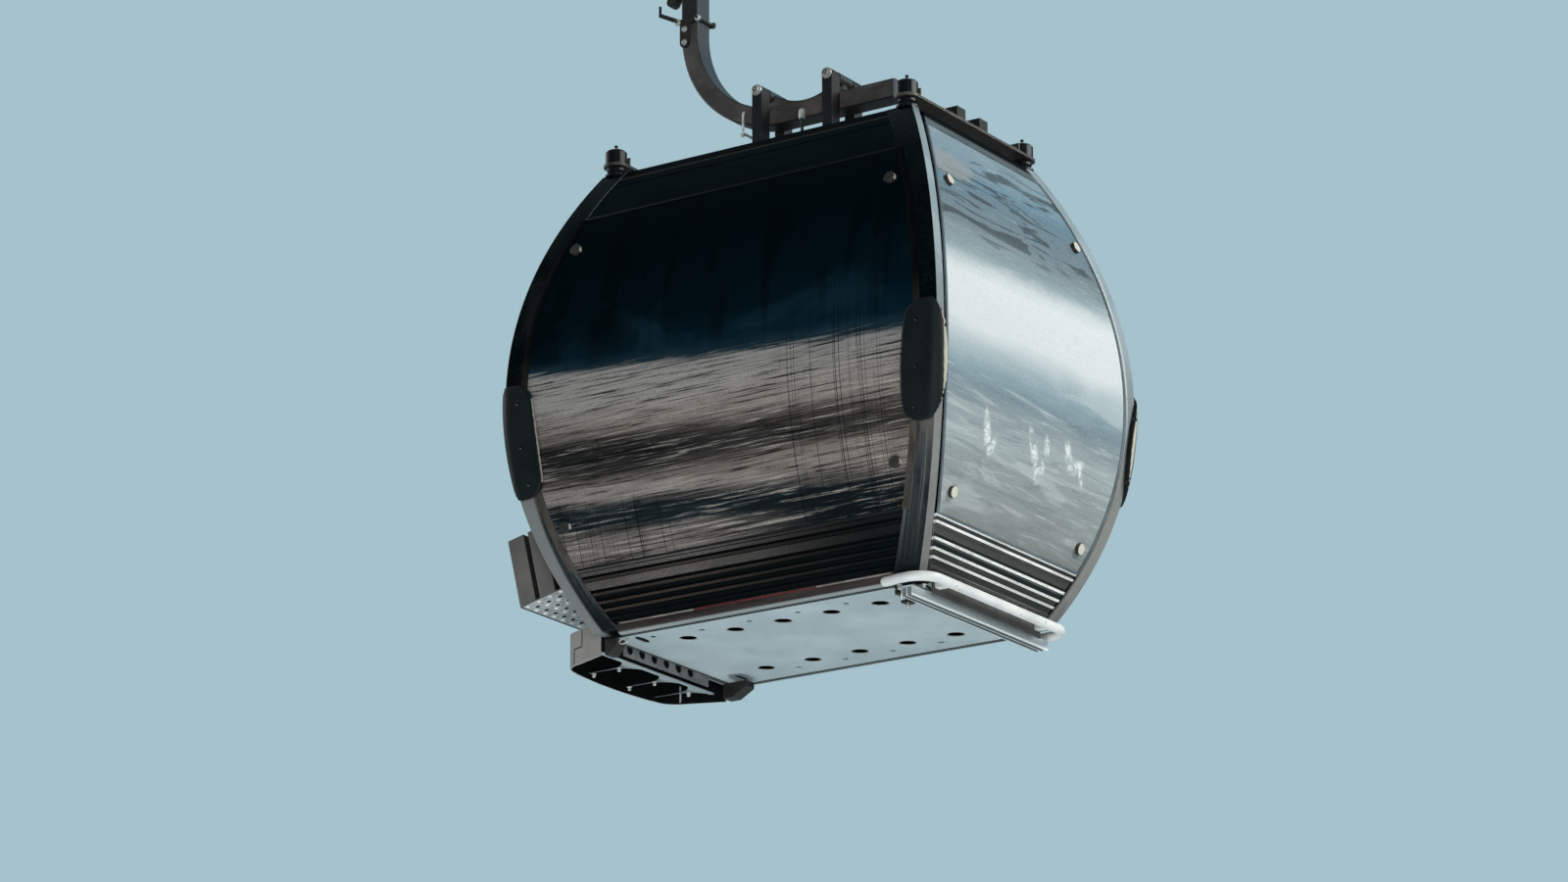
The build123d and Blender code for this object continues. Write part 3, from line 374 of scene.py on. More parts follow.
# Glass
glassTop = 2.4      # height at the end of each pane's colour ramp, m over the floor
endGlassLook = {
    "slope": 0.065, "wave": 0.035, "horizon": 1.235,
    # painted reflection, dark sky above the horizon and brown-grey ground below: height, then red, green and
    # blue, at the pane's two upright edges
    "left": ((0.30, 122, 114, 110), (0.37, 112, 106, 102), (0.43, 24, 36, 42), (0.49, 30, 40, 44),
             (0.56, 152, 144, 138), (0.65, 74, 70, 67), (0.72, 30, 31, 33), (0.80, 46, 45, 44),
             (0.88, 140, 131, 125), (1.02, 166, 160, 155), (1.165, 156, 152, 149), (1.19, 30, 50, 60),
             (1.25, 6, 28, 38), (1.40, 1, 18, 25), (1.8, 0, 14, 19), (2.2, 0, 12, 16)),
    "right": ((0.30, 20, 26, 28), (0.36, 6, 18, 22), (0.48, 18, 28, 32), (0.57, 136, 128, 122),
              (0.66, 132, 122, 116), (0.74, 54, 52, 51), (0.82, 70, 66, 63), (0.90, 146, 138, 132),
              (1.05, 152, 146, 141), (1.165, 142, 140, 138), (1.19, 30, 50, 62), (1.26, 8, 34, 46),
              (1.42, 2, 22, 31), (1.8, 0, 15, 21), (2.2, 0, 12, 16)),
}


def endGlass():
    # tinted pane with a painted reflection of dark sky over brown-grey ground streaks, lying along its curve
    material, tree = startFinish("endGlass", gloss=0.08)
    across = axis(tree, "X")
    height = heightNode(tree, endGlassLook["slope"], "X")
    wave = speckle(tree, 1.5, (1, 1, 10), 6, 0.62, 0.5)
    fine = speckle(tree, 2.2, (1, 1, 38), 7, 0.72, 0.4)
    bend = endGlassLook["wave"]
    shown = calc(tree, "ADD", height, span(tree, wave, 0.2, 0.8, -bend, bend, False))
    shown = calc(tree, "DIVIDE", shown, glassTop)
    left, right = [steps(tree, shown, endGlassLook[half], glassTop) for half in ("left", "right")]
    colour = mixColour(tree, span(tree, across, -0.45, 0.55), left, right)
    below = span(tree, height, endGlassLook["horizon"], 1.15)
    # dark and pale streaks and grain in the painted reflection of the ground below the horizon
    colour = mixColour(tree, times(tree, span(tree, fine, 0.49, 0.39, 0, 0.92), below), colour, (16, 16, 17))
    colour = mixColour(tree, times(tree, span(tree, fine, 0.54, 0.62, 0, 0.6), below), colour,
                       (186, 178, 170))
    grain = speckle(tree, 210, (1, 1, 1), 2, 0.7)
    colour = mixColour(tree, times(tree, span(tree, grain, 0.47, 0.36, 0, 0.55), below), colour, (30, 28, 27))
    # painted reflection: a soft lighter cloud over the dark half, and upright dark bars
    haze = speckle(tree, 1.7, (1, 1, 1.6), 5, 0.6, 0.6)
    hazeMask = times(tree, span(tree, haze, 0.50, 0.72, 0, 0.5), span(tree, height, 1.75, 1.25))
    colour = mixColour(tree, times(tree, hazeMask, span(tree, height, 1.17, 1.23)), colour, (28, 54, 66))
    bars = speckle(tree, 1, (5, 5, 0.25), 3, 0.5, 0.1)
    barMask = times(tree, span(tree, bars, 0.52, 0.60, 0, 0.5), span(tree, height, 1.19, 1.3))
    colour = mixColour(tree, barMask, colour, (1, 7, 10))
    # thin dark upright lines run down the pane in two places
    uprightLines = speckle(tree, 1, (130, 0, 0.05), 1, 0.4)
    runs = speckle(tree, 1, (130, 0, 1.6), 1, 0.4)
    near = times(tree, span(tree, across, 0.28, 0.50), span(tree, across, 1.05, 0.85),
                 span(tree, height, 1.75, 1.2, 0, 0.9))
    low = times(tree, span(tree, across, -0.20, -0.45), span(tree, height, 0.58, 0.46))
    uprightLineMask = times(tree, span(tree, uprightLines, 0.60, 0.645, 0, 0.9), calc(tree, "MAXIMUM", near, low),
                     span(tree, runs, 0.36, 0.46))
    colour = mixColour(tree, uprightLineMask, colour, (10, 13, 15))
    dust = speckle(tree, 620, (1, 1, 1), 1, 0.5)
    colour = mixColour(tree, span(tree, dust, 0.72, 0.80, 0, 0.3), colour, (120, 130, 132))
    return closeFinish(material, colour, grain, (0.10, 0.22), (grain, 0.00008, 0.4), (wave, 0.0010, 0.2))


sideGlassLook = {
    "slope": -0.045, "wave": 0.05,
    # colours by height of the painted sky reflection, brightest from 1.2 m to 1.46 m
    "heights": ((0.25, 118, 121, 120), (0.42, 134, 140, 140), (0.58, 134, 142, 143), (0.70, 150, 160, 162),
                (0.80, 130, 142, 146), (0.90, 114, 130, 138), (1.0, 126, 146, 154), (1.10, 160, 173, 178),
                (1.20, 200, 205, 208), (1.46, 205, 209, 211), (1.52, 190, 198, 201), (1.60, 134, 150, 156),
                (1.72, 106, 120, 127), (1.88, 98, 117, 127), (2.0, 92, 119, 135), (2.12, 114, 139, 152),
                (2.3, 124, 143, 153)),
    "patch": {"y": -0.50, "height": 2.07, "wide": 0.24, "tall": 0.09},
    "scratches": ((0.5, 0.75), (-0.9, 0.6), (0.15, 0.5)),      # slant and how much shows
    # place along the wall, height, half width, half height and slant
    "smears": ((-0.40, 0.70, 0.035, 0.13, 0.3), (-0.35, 0.62, 0.03, 0.08, -0.4),
               (0.02, 0.72, 0.04, 0.12, 0.5), (0.10, 0.63, 0.045, 0.07, -0.3),
               (0.13, 0.76, 0.03, 0.06, 0.2), (0.33, 0.77, 0.04, 0.09, 0.4),
               (0.42, 0.73, 0.05, 0.05, -0.7), (0.46, 0.70, 0.03, 0.06, 0.6)),
}


def sideGlass():
    # the same tinted pane with a painted reflection of a bright sky, a soft white band and dark wisps, and
    # with scratches
    material, tree = startFinish("sideGlass", gloss=0.3)
    along = axis(tree, "Y")
    height = heightNode(tree, sideGlassLook["slope"], "Y")
    wave = speckle(tree, 1.3, (1, 1, 4), 5, 0.6, 0.8)
    bend = sideGlassLook["wave"]
    shown = calc(tree, "ADD", height, span(tree, wave, 0.2, 0.8, -bend, bend, False))
    shown = calc(tree, "DIVIDE", shown, glassTop)
    colour = steps(tree, shown, sideGlassLook["heights"], glassTop)
    # dark wisps of the painted reflection high on the pane
    wisps = speckle(tree, 1.5, (1, 1.0, 10), 7, 0.62, 1.6, (0.35, 0, 0))
    upper = times(tree, span(tree, height, 1.56, 1.80), span(tree, height, 2.26, 2.14))
    colour = mixColour(tree, times(tree, span(tree, wisps, 0.52, 0.57, 0, 0.8), upper), colour, (44, 50, 54))
    # a grey patch high up by the near post
    patch = sideGlassLook["patch"]
    away = ovalAway(tree, fromMiddle(tree, along, patch["y"], patch["wide"]),
                    fromMiddle(tree, height, patch["height"], patch["tall"]))
    away = calc(tree, "ADD", away, span(tree, wisps, 0.3, 0.7, -0.5, 0.5, False))
    colour = mixColour(tree, span(tree, away, 1.0, 0.6, 0, 0.75), colour, (138, 142, 142))
    lower = times(tree, span(tree, height, 1.05, 0.9), span(tree, wisps, 0.52, 0.62, 0, 0.35))
    colour = mixColour(tree, lower, colour, (94, 102, 105))
    paleLow = times(tree, span(tree, height, 0.98, 0.85), span(tree, wisps, 0.46, 0.34, 0, 0.3))
    colour = mixColour(tree, paleLow, colour, (190, 196, 195))
    # broad pale folds that cross the lower half, and scratches at three slants
    folds = speckle(tree, 1, (1, 0.7, 7), 3, 0.5, 0.9, (-0.55, 0, 0))
    foldMask = times(tree, span(tree, folds, 0.56, 0.62), span(tree, height, 1.15, 1.0, 0, 0.22))
    colour = mixColour(tree, foldMask, colour, (206, 212, 212))
    for turn, show in sideGlassLook["scratches"]:
        lines = speckle(tree, 1, (1, 1.8, 150), 4, 0.78, 0.2, (turn, 0, 0))
        colour = mixColour(tree, span(tree, lines, 0.655, 0.685, 0, show), colour, (232, 236, 236))
    fine = speckle(tree, 240, (1, 1, 1), 2, 0.7)
    colour = mixColour(tree, span(tree, fine, 0.5, 0.3, 0, 0.25), colour, (84, 90, 92))
    # wiped smears: short slanted strokes inside soft, broken patches
    strokes = speckle(tree, 1, (1, 34, 120), 5, 0.8, 1.5, (0.7, 0, 0))
    clumps = speckle(tree, 17, (1, 1, 1), 4, 0.7, 0.8)
    for place, up, wide, tall, slant in sideGlassLook["smears"]:
        rise = calc(tree, "SUBTRACT", heightNode(tree), up)
        slanted = calc(tree, "MULTIPLY_ADD", rise, slant, calc(tree, "SUBTRACT", along, place))
        away = ovalAway(tree, calc(tree, "DIVIDE", slanted, wide), calc(tree, "DIVIDE", rise, tall))
        broken = times(tree, span(tree, clumps, 0.40, 0.58), span(tree, strokes, 0.40, 0.56, 0.15, 0.95))
        colour = mixColour(tree, times(tree, span(tree, away, 1.2, 0.1), broken), colour, (222, 227, 227))
    return closeFinish(material, colour, fine, (0.20, 0.34), (fine, 0.00008, 0.4), (wave, 0.0015, 0.25))


# colours by height of the door pane's painted reflection: grey ground below a horizon near 1.25 m, dark sky
# above
doorGlassLook = ((0.24, 62, 62, 62), (0.96, 74, 76, 77), (1.248, 34, 46, 52), (1.8, 16, 26, 32),
                 (2.28, 12, 20, 25))


def doorGlass():
    # dark tinted pane of a door leaf with a painted reflection, and pale patches of reflected cloud
    material, tree = startFinish("doorGlass")
    colour = steps(tree, calc(tree, "DIVIDE", heightNode(tree), glassTop), doorGlassLook, glassTop)
    clouds = speckle(tree, 2, (1, 1, 6), 6, 0.6, 0.8)
    colour = mixColour(tree, span(tree, clouds, 0.52, 0.66, 0, 0.35), colour, (104, 106, 106))
    fine = speckle(tree, 220, (1, 1, 1), 2, 0.7)
    colour = mixColour(tree, span(tree, fine, 0.62, 0.74, 0, 0.25), colour, (120, 126, 128))
    return closeFinish(material, colour, fine, (0.10, 0.24), (fine, 0.00006, 0.4))


# The other finishes
def postFinish():
    # black lacquer: grey-brown low down on the ends, and pale with painted light where the sides face the
    # lamps
    material, tree = startFinish("postLacquer", gloss=0.22)
    patches = speckle(tree, 5, (1, 1, 0.5), 6, 0.6)
    grain = speckle(tree, 150, (1, 1, 0.4), 3, 0.6)
    height = heightNode(tree)
    colour = mixColour(tree, span(tree, patches, 0.35, 0.7), (0, 6, 8), (3, 11, 13))
    ends = eitherWay(tree, (0, -1, 0), 0.86, 0.97)
    # grey-brown low down on the ends, blue-grey at the very foot
    lowOnEnds = times(tree, span(tree, height, 1.10, 0.75, 0.0, 0.9), ends,
                  span(tree, patches, 0.36, 0.56, 0.3, 1.0))
    dust = mixColour(tree, span(tree, height, 0.45, 0.70), (58, 62, 65), (112, 106, 102))
    colour = mixColour(tree, lowOnEnds, colour, dust)
    # painted light: pale on the faces that point to +X and -X
    sides = times(tree, eitherWay(tree, (1, 0, 0), 0.70, 0.94), span(tree, patches, 0.3, 0.7, 0.72, 0.95))
    pale = mixColour(tree, span(tree, height, 0.5, 1.9), (128, 128, 125), (148, 164, 171))
    colour = mixColour(tree, sides, colour, pale)
    # fine streaks that run down along the curved post
    across = addNode(tree, "CombineXYZ", {
        0: fromCorner(tree, "X", "halfWidth"), 1: fromCorner(tree, "Y", "halfLength"),
        2: times(tree, height, 0.02)})
    streaks = addNode(tree, "TexNoise", {
        "Vector": across.outputs[0], "Scale": 75, "Detail": 4, "Roughness": 0.6})
    streakMask = times(tree, span(tree, streaks.outputs["Fac"], 0.50, 0.64, 0, 0.75),
                       span(tree, height, 0.95, 0.35, 0.0, 1.0), ends)
    colour = mixColour(tree, streakMask, colour, (112, 114, 114))
    # the door side's posts mirror pale ground along their outer edge
    outer = calc(tree, "MULTIPLY_ADD", height, 0.035, fromCorner(tree, "X", "halfWidth"))
    ground = times(tree, span(tree, outer, -0.064, -0.046), span(tree, height, 0.95, 0.62),
                   span(tree, axis(tree, "X"), 0.0, -0.2), 0.9)
    colour = mixColour(tree, ground, colour, (130, 131, 130))
    colour = mixColour(tree, span(tree, grain, 0.58, 0.74, 0, 0.22), colour, (90, 90, 88))
    # worn edges, with a painted highlight along them
    edgeWearAndGlint = times(tree, edges(tree, 0.004), span(tree, patches, 0.35, 0.6, 0.15, 0.6))
    colour = mixColour(tree, edgeWearAndGlint, colour, (128, 130, 128))
    return closeFinish(material, colour, patches, (0.16, 0.34), (grain, 0.0002, 0.4))


ribLook = {
    "top": 0.4,
    "heights": (0, 0.044, 0.083, 0.096, 0.106, 0.119, 0.132, 0.146, 0.159, 0.172, 0.190, 0.227, 0.240, 0.255),
    "side": {
        "tones": {"black": (4, 4, 4), "low": (26, 25, 24), "step": (68, 67, 64), "lip": (236, 236, 232)},
        "order": "black step lip black step lip black low lip black step lip step lip", "gloss": 0.45,
        "rub": (0.3, 0.8)},
    "end": {
        "tones": {"black": (0, 2, 3), "low": (9, 12, 14), "step": (102, 97, 94), "lip": (62, 56, 52)},
        "order": "black low lip black low lip black low lip black step lip black step", "gloss": 0.08,
        "rub": (0.05, 0.3)},
}


def ribFinish(name, zone):
    # ribbed extrusion, each band at its height: grained steps, black grooves and undersides of painted
    # shadow, and lips made bright by painted highlight
    look = ribLook[zone]
    tones = look["tones"]
    material, tree = startFinish(name, gloss=look["gloss"])
    stops = [(place, *tones[key]) for place, key in zip(ribLook["heights"], look["order"].split())]
    shown = calc(tree, "DIVIDE", heightNode(tree), ribLook["top"])
    colour = steps(tree, shown, stops, ribLook["top"], "CONSTANT")
    patches = speckle(tree, 1.6, (1, 1, 6), 5, 0.6)
    colour = mixColour(tree, span(tree, patches, 0.62, 0.36, 0, 0.3), colour, tones["black"])
    if zone == "end":
        # painted shade: the end skirt darkens towards +X
        colour = mixColour(tree, span(tree, axis(tree, "X"), -0.5, 0.8, 0, 0.94), colour, (2, 8, 10))
    grain = speckle(tree, 130, (0.5, 0.5, 1.6), 4, 0.75)
    colour = mixColour(tree, span(tree, grain, 0.52, 0.36, 0, 0.5), colour, tones["black"])
    # painted shadow on faces that point down
    colour = mixColour(tree, facing(tree, downward, 0.5, 0.9), colour, tones["black"])
    # rubbed edges in the lip tone, worn and with painted highlight
    rub = times(tree, edges(tree, 0.003), span(tree, patches, 0.3, 0.6, *look["rub"]))
    return closeFinish(material, mixColour(tree, rub, colour, tones["lip"]), grain, (0.28, 0.48),
                       (grain, 0.0004, 0.5))


def armFinish():
    # weathered brown-black coating with paler cheeks and a painted sky reflection on faces that point up and
    # to +X, darker along the box section's edges and on the sleeve
    material, tree = startFinish("armSteel", gloss=0.3)
    patches = span(tree, speckle(tree, 4, (1, 1, 1), 6, 0.62), 0.35, 0.68)
    scuffs = speckle(tree, 9, (0.35, 1, 1), 6, 0.7, 0.6)
    grain = speckle(tree, 190, (1, 1, 1), 3, 0.65)
    colour = mixColour(tree, patches, (30, 29, 29), (47, 44, 42))
    cheeks = eitherWay(tree, (0, -1, 0), 0.7, 0.95)
    # the cheeks, the faces that point to -Y and +Y, are paler
    cheekTone = mixColour(tree, patches, (78, 74, 73), (112, 106, 103))
    colour = mixColour(tree, times(tree, cheeks, 0.92), colour, cheekTone)
    colour = mixColour(tree, times(tree, cheeks, span(tree, scuffs, 0.54, 0.66, 0, 0.55)), colour,
                       (36, 33, 32))
    # painted reflection of the sky on faces that point up and to +X
    colour = mixColour(tree, times(tree, facing(tree, (0.8, 0, 0.6), 0.75, 0.97), 0.85), colour, (44, 62, 72))
    colour = mixColour(tree, times(tree, facing(tree, (1, 0, 0), 0.93, 0.995), 0.9), colour, (48, 60, 66))
    sleeve = times(tree, cheeks, span(tree, heightNode(tree), 3.30, 3.335, 0, 0.95))
    colour = mixColour(tree, sleeve, colour, (28, 30, 34))
    colour = mixColour(tree, span(tree, grain, 0.52, 0.7, 0, 0.35), colour, (112, 102, 94))
    colour = mixColour(tree, edges(tree, 0.012), colour, (12, 13, 15))
    return closeFinish(material, colour, grain, (0.36, 0.6), (grain, 0.0005, 0.6))


finishes = {
    "endGlass": endGlass(), "sideGlass": sideGlass(), "doorGlass": doorGlass(), "post": postFinish(),
    "skirtEnd": ribFinish("skirtEnd", "end"), "skirtSide": ribFinish("skirtSide", "side"),
    "armSteel": armFinish(),
}

# Each row: dark, pale and speck tones, patch and grain scale, how much grain shows, roughness, the rest.
# Painted light and shade on faces is (direction, low, high, share, tone) and bands are (axis, low, high,
# share, tone);
# a stain is (tone, scale, start, share) and an edge, worn and with a pale tone a painted highlight, is (tone,
# share)
channelLow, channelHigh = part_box("guide_channel")
level = {"stretch": (1, 0.4, 1)}        # patches drawn out along the rope
surfaceLooks = {
    # painted light on the +X faces, and a painted highlight along the edges
    "roofRail": ((0, 11, 16), (2, 17, 23), (12, 28, 34), 3, 160, 0.1, (0.35, 0.5), dict(
        stretch=(1, 1, 4), gloss=0.05, sides=(((1, 0, 0), 0.6, 0.95, 0.8, (104, 116, 122)),),
        edge=((24, 34, 40), 0.5),
        bands=(("Z", floorZ + 2.311, floorZ + 2.314, 0.8, (74, 66, 60)),
               ("Z", floorZ + 2.319, floorZ + 2.322, 1.0, (2, 8, 12))))),
    # painted light on the undersides and +X faces, and a painted highlight along the edges
    "floorRail": ((34, 30, 30), (66, 58, 56), (92, 84, 80), 3, 140, 0.25, (0.3, 0.5), dict(
        stretch=(0.5, 0.5, 5), gloss=0.35, edge=((190, 188, 182), 0.6), depth=0.0003,
        sides=((downward, 0.25, 0.8, 0.9, (158, 164, 165)), ((1, 0, 0), 0.5, 0.9, 0.7, (118, 113, 108))))),
    "floorSheet": ((170, 185, 190), (188, 202, 207), (204, 212, 213), 2.6, 110, 0.35, (0.32, 0.5), dict(
        metal=0.15, stain=((136, 148, 152), 3.2, 0.58, 0.4), edge=((206, 210, 208), 0.5), depth=0.0003)),
    "floorDeck": ((12, 13, 14), (26, 27, 28), (46, 46, 46), 8, 420, 0.5, (0.6, 0.85),
                  dict(depth=0.0006, relief=0.8)),
    "bumperWhite": ((208, 210, 208), (228, 229, 226), (196, 194, 188), 5, 60, 0.2, (0.3, 0.48), dict(
        stain=((120, 114, 106), 22, 0.64, 0.7), depth=0.0003)),
    "aluminium": ((150, 154, 155), (200, 203, 202), (224, 226, 224), 3, 120, 0.5, (0.25, 0.42), dict(
        level, metal=0.65, grainStretch=(1, 0.05, 1), edge=((235, 236, 234), 0.6), depth=0.0002)),
    # a painted highlight in a band along the lower edge
    "channelFace": ((164, 176, 180), (188, 198, 201), (210, 216, 217), 3, 220, 0.25, (0.3, 0.45), dict(
        level, metal=0.1, gloss=0.3, depth=0.0001,
        bands=(("Z", channelLow.z + 0.0105, channelLow.z + 0.0085, 1.0, (250, 252, 252)),))),
    # painted shade inside the channel's two grooves
    "channelInside": ((116, 124, 127), (146, 154, 156), (156, 162, 162), 3, 160, 0.4, (0.4, 0.6),
                      dict(level, gloss=0.2, depth=0.0002)),
    # painted highlight on the channel's lower edges
    "channelLip": ((236, 240, 240), (250, 252, 252), (226, 228, 228), 6, 160, 0.25, (0.25, 0.4),
                   dict(metal=0.2, depth=0.0001)),
    "greyPlate": ((64, 68, 69), (94, 98, 99), (140, 142, 142), 9, 150, 0.4, (0.3, 0.5), dict(
        metal=0.2, edge=((170, 172, 170), 0.5), edgeWidth=0.001, depth=0.0002,
        bands=(("X", -1.03, -0.975, 0.9, (176, 186, 188)),))),
    "benchCover": ((30, 31, 34), (46, 47, 51), (74, 75, 80), 5, 420, 0.35, (0.42, 0.6), dict(
        gloss=0.4, edge=((70, 71, 75), 0.4), depth=0.0007, relief=0.8)),
    "benchPiping": ((58, 60, 64), (82, 84, 88), (110, 112, 116), 20, 500, 0.35, (0.4, 0.6), dict(gloss=0.4)),
    "carrierSteel": ((44, 42, 41), (76, 72, 70), (104, 99, 96), 9, 110, 0.5, (0.35, 0.6),
                     dict(metal=0.2, edge=((150, 148, 142), 0.6))),
    # painted shade: dark on the tops, undersides and +X faces
    "rackPlastic": ((84, 82, 80), (112, 109, 106), (136, 132, 128), 4, 260, 0.4, (0.45, 0.65), dict(
        gloss=0.25, edge=((60, 58, 56), 0.6), depth=0.0003,
        sides=((upward, 0.5, 0.95, 0.7, (24, 34, 40)), (downward, 0.6, 0.95, 1.0, (9, 11, 13)),
               ((1, 0, 0), 0.4, 0.8, 0.9, (12, 13, 14))))),
    "rackPlate": ((150, 156, 160), (186, 190, 193), (218, 220, 220), 14, 180, 0.25, (0.28, 0.45), dict(
        metal=0.3, edge=((244, 244, 240), 1.0), edgeWidth=0.004)),
    "rackRim": ((206, 210, 212), (240, 242, 242), (226, 228, 228), 20, 160, 0.25, (0.3, 0.5),
                dict(gloss=0.4)),
    # painted light on faces turned to -X, and a painted highlight along the edges
    "stepPlastic": ((122, 119, 114), (150, 146, 140), (172, 168, 162), 4, 240, 0.35, (0.42, 0.62), dict(
        gloss=0.3, sides=(((-1, -0.12, 0), 0.55, 0.95, 0.8, (120, 132, 144)),), edge=((205, 205, 202), 0.8),
        edgeWidth=0.005, depth=0.0003)),
    # painted highlight on the step housing's lower rim
    "stepRim": ((150, 150, 146), (196, 196, 190), (220, 220, 214), 12, 160, 0.25, (0.35, 0.55), {}),
    # black used as painted shade in hollows, gaps and holes, and for the pin seals
    "blackInside": ((2, 4, 5), (8, 10, 11), (18, 19, 19), 6, 160, 0.25, (0.6, 0.85), dict(gloss=0.1)),
    "blackSteel": ((10, 11, 12), (24, 24, 24), (84, 80, 74), 14, 170, 0.3, (0.35, 0.6),
                   dict(gloss=0.35, edge=((150, 146, 138), 0.5))),
    "punchedSteel": ((88, 87, 86), (118, 116, 114), (160, 156, 152), 12, 160, 0.25, (0.35, 0.6), dict(
        metal=0.2, edge=((160, 156, 150), 0.7))),
    # painted highlights: bright upright stripes on two sides, and a bright edge
    "mountRubber": ((0, 5, 8), (6, 13, 17), (34, 40, 42), 11, 200, 0.2, (0.4, 0.6), dict(
        gloss=0.12, edge=((110, 116, 116), 0.4),
        sides=(((-0.62, -0.78, 0), 0.965, 0.99, 0.8, (150, 162, 168)),
               ((0.96, -0.28, 0), 0.93, 0.985, 0.7, (104, 106, 104))))),
    # painted light and shade: an even grey tone on the +X faces
    "barSteel": ((24, 23, 22), (54, 50, 46), (96, 90, 82), 9, 120, 0.5, (0.4, 0.7), dict(
        metal=0.3, stretch=(1, 0.5, 1), stain=((104, 98, 88), 11, 0.54, 0.55), edge=((176, 172, 160), 0.85),
        edgeWidth=0.004,
        sides=(((1, 0, 0), 0.6, 0.95, 0.85, (40, 42, 42)),), depth=0.0006, relief=0.7)),
    # painted light: a blue-grey tone on the -Y faces
    "frameSteel": ((8, 12, 14), (24, 28, 30), (64, 64, 64), 8, 140, 0.35, (0.4, 0.65), dict(
        metal=0.1, gloss=0.3, sides=(((0, -1, 0), 0.6, 0.95, 0.8, (26, 31, 34)),),
        edge=((108, 104, 98), 0.5))),
    "darkSleeve": ((12, 13, 14), (26, 27, 28), (60, 58, 54), 12, 220, 0.3, (0.4, 0.65), {}),
    "brightSteel": ((150, 150, 148), (206, 206, 202), (226, 226, 222), 24, 260, 0.5, (0.22, 0.42), dict(
        metal=0.4, stain=((92, 80, 66), 40, 0.62, 0.6), edge=((236, 236, 232), 0.6), depth=0.0002)),
    "gripCast": ((84, 86, 88), (124, 126, 126), (150, 150, 146), 10, 130, 0.5, (0.38, 0.6), dict(
        metal=0.55, stain=((52, 48, 44), 14, 0.56, 0.6), edge=((184, 184, 180), 0.7), depth=0.0007,
        relief=0.7)),
    "jawSteel": ((70, 72, 74), (110, 111, 112), (150, 148, 142), 12, 130, 0.45, (0.32, 0.55), dict(
        metal=0.6, stain=((40, 38, 36), 18, 0.57, 0.6), edge=((196, 196, 192), 0.75), depth=0.0006,
        relief=0.6)),
    "wornPlate": ((136, 136, 132), (178, 178, 174), (210, 210, 206), 5, 150, 0.6, (0.2, 0.38), dict(
        metal=0.75, stretch=(4, 0.4, 1), grainStretch=(1, 0.04, 1), stain=((104, 92, 78), 9, 0.60, 0.5),
        edge=((222, 222, 218), 0.6))),
    "wheelPlastic": ((18, 19, 20), (40, 41, 42), (90, 88, 84), 12, 240, 0.35, (0.4, 0.62),
                     dict(edge=((96, 94, 90), 0.7))),
    "doorFrame": ((18, 20, 22), (40, 42, 44), (84, 84, 82), 3, 200, 0.25, (0.3, 0.5), dict(
        metal=0.2, stretch=(1, 1, 0.4), edge=((110, 110, 108), 0.6))),
    "roofShell": ((150, 153, 154), (178, 181, 181), (206, 208, 206), 2, 340, 0.4, (0.4, 0.62),
                  dict(stain=((108, 110, 108), 3, 0.6, 0.5))),
    "benchBase": ((44, 45, 46), (64, 65, 66), (92, 92, 90), 6, 380, 0.4, (0.5, 0.7),
                  dict(edge=((100, 100, 98), 0.5))),
    # painted light on the +X faces
    "gasket": ((2, 6, 7), (11, 14, 15), (36, 38, 38), 14, 300, 0.25, (0.5, 0.7), dict(
        gloss=0.2, sides=(((1, 0, 0), 0.85, 0.97, 0.75, (66, 80, 86)),))),
    # painted light: the black gasket as it looks lit on the far side
    "paleGasket": ((70, 84, 90), (98, 112, 118), (128, 138, 142), 5, 240, 0.2, (0.5, 0.7), dict(gloss=0.1)),
    # grey-brown, going near-black above between 1.0 m and 1.4 m
    "dustyGasket": ((44, 42, 40), (78, 73, 69), (112, 106, 98), 9, 190, 0.3, (0.6, 0.8), dict(
        stretch=(1, 1, 0.5), gloss=0.03, bands=(("Z", floorZ + 1.0, floorZ + 1.4, 0.97, (1, 4, 6)),))),
    # painted light: cream on faces turned to +X, grey on faces turned to -X
    "padRubber": ((0, 9, 11), (8, 17, 19), (54, 60, 60), 7, 240, 0.28, (0.45, 0.65), dict(
        gloss=0.14, depth=0.0005, relief=0.6,
        sides=(((1, -0.08, 0), 0.965, 0.99, 1.0, (176, 172, 158)),
               ((1, 0.08, 0), 0.965, 0.99, 1.0, (176, 172, 158)),
               ((-1, 0, 0), 0.75, 0.95, 0.5, (84, 80, 76))))),
    # painted light: bright on faces turned to +X, a lighter brown on faces turned to -Y and up
    "capPlastic": ((26, 26, 26), (46, 43, 40), (72, 68, 62), 40, 300, 0.4, (0.35, 0.55), dict(
        gloss=0.35, sides=(((1, 0, 0), 0.84, 0.93, 1.0, (206, 202, 190)),
                           ((0, -0.8, 0.6), 0.93, 0.99, 0.4, (76, 70, 64))))),
    "redReflector": ((82, 20, 26), (120, 30, 36), (150, 70, 72), 18, 500, 0.4, (0.3, 0.5), {}),
    "paleReflector": ((112, 104, 100), (164, 156, 150), (190, 182, 176), 18, 500, 0.4, (0.3, 0.5), {}),
    "paleFloor": ((230, 234, 236), (236, 240, 242), (240, 243, 244), 0.2, 3, 0.25, (0.7, 0.9),
                  dict(gloss=0.1)),
}
for name, (*basics, others) in surfaceLooks.items():
    finishes[name] = surface(name, *basics, **others)
addStain(finishes["floorSheet"], -0.763, 0.43, 0.075, 0.10, 0.75, (74, 82, 86))

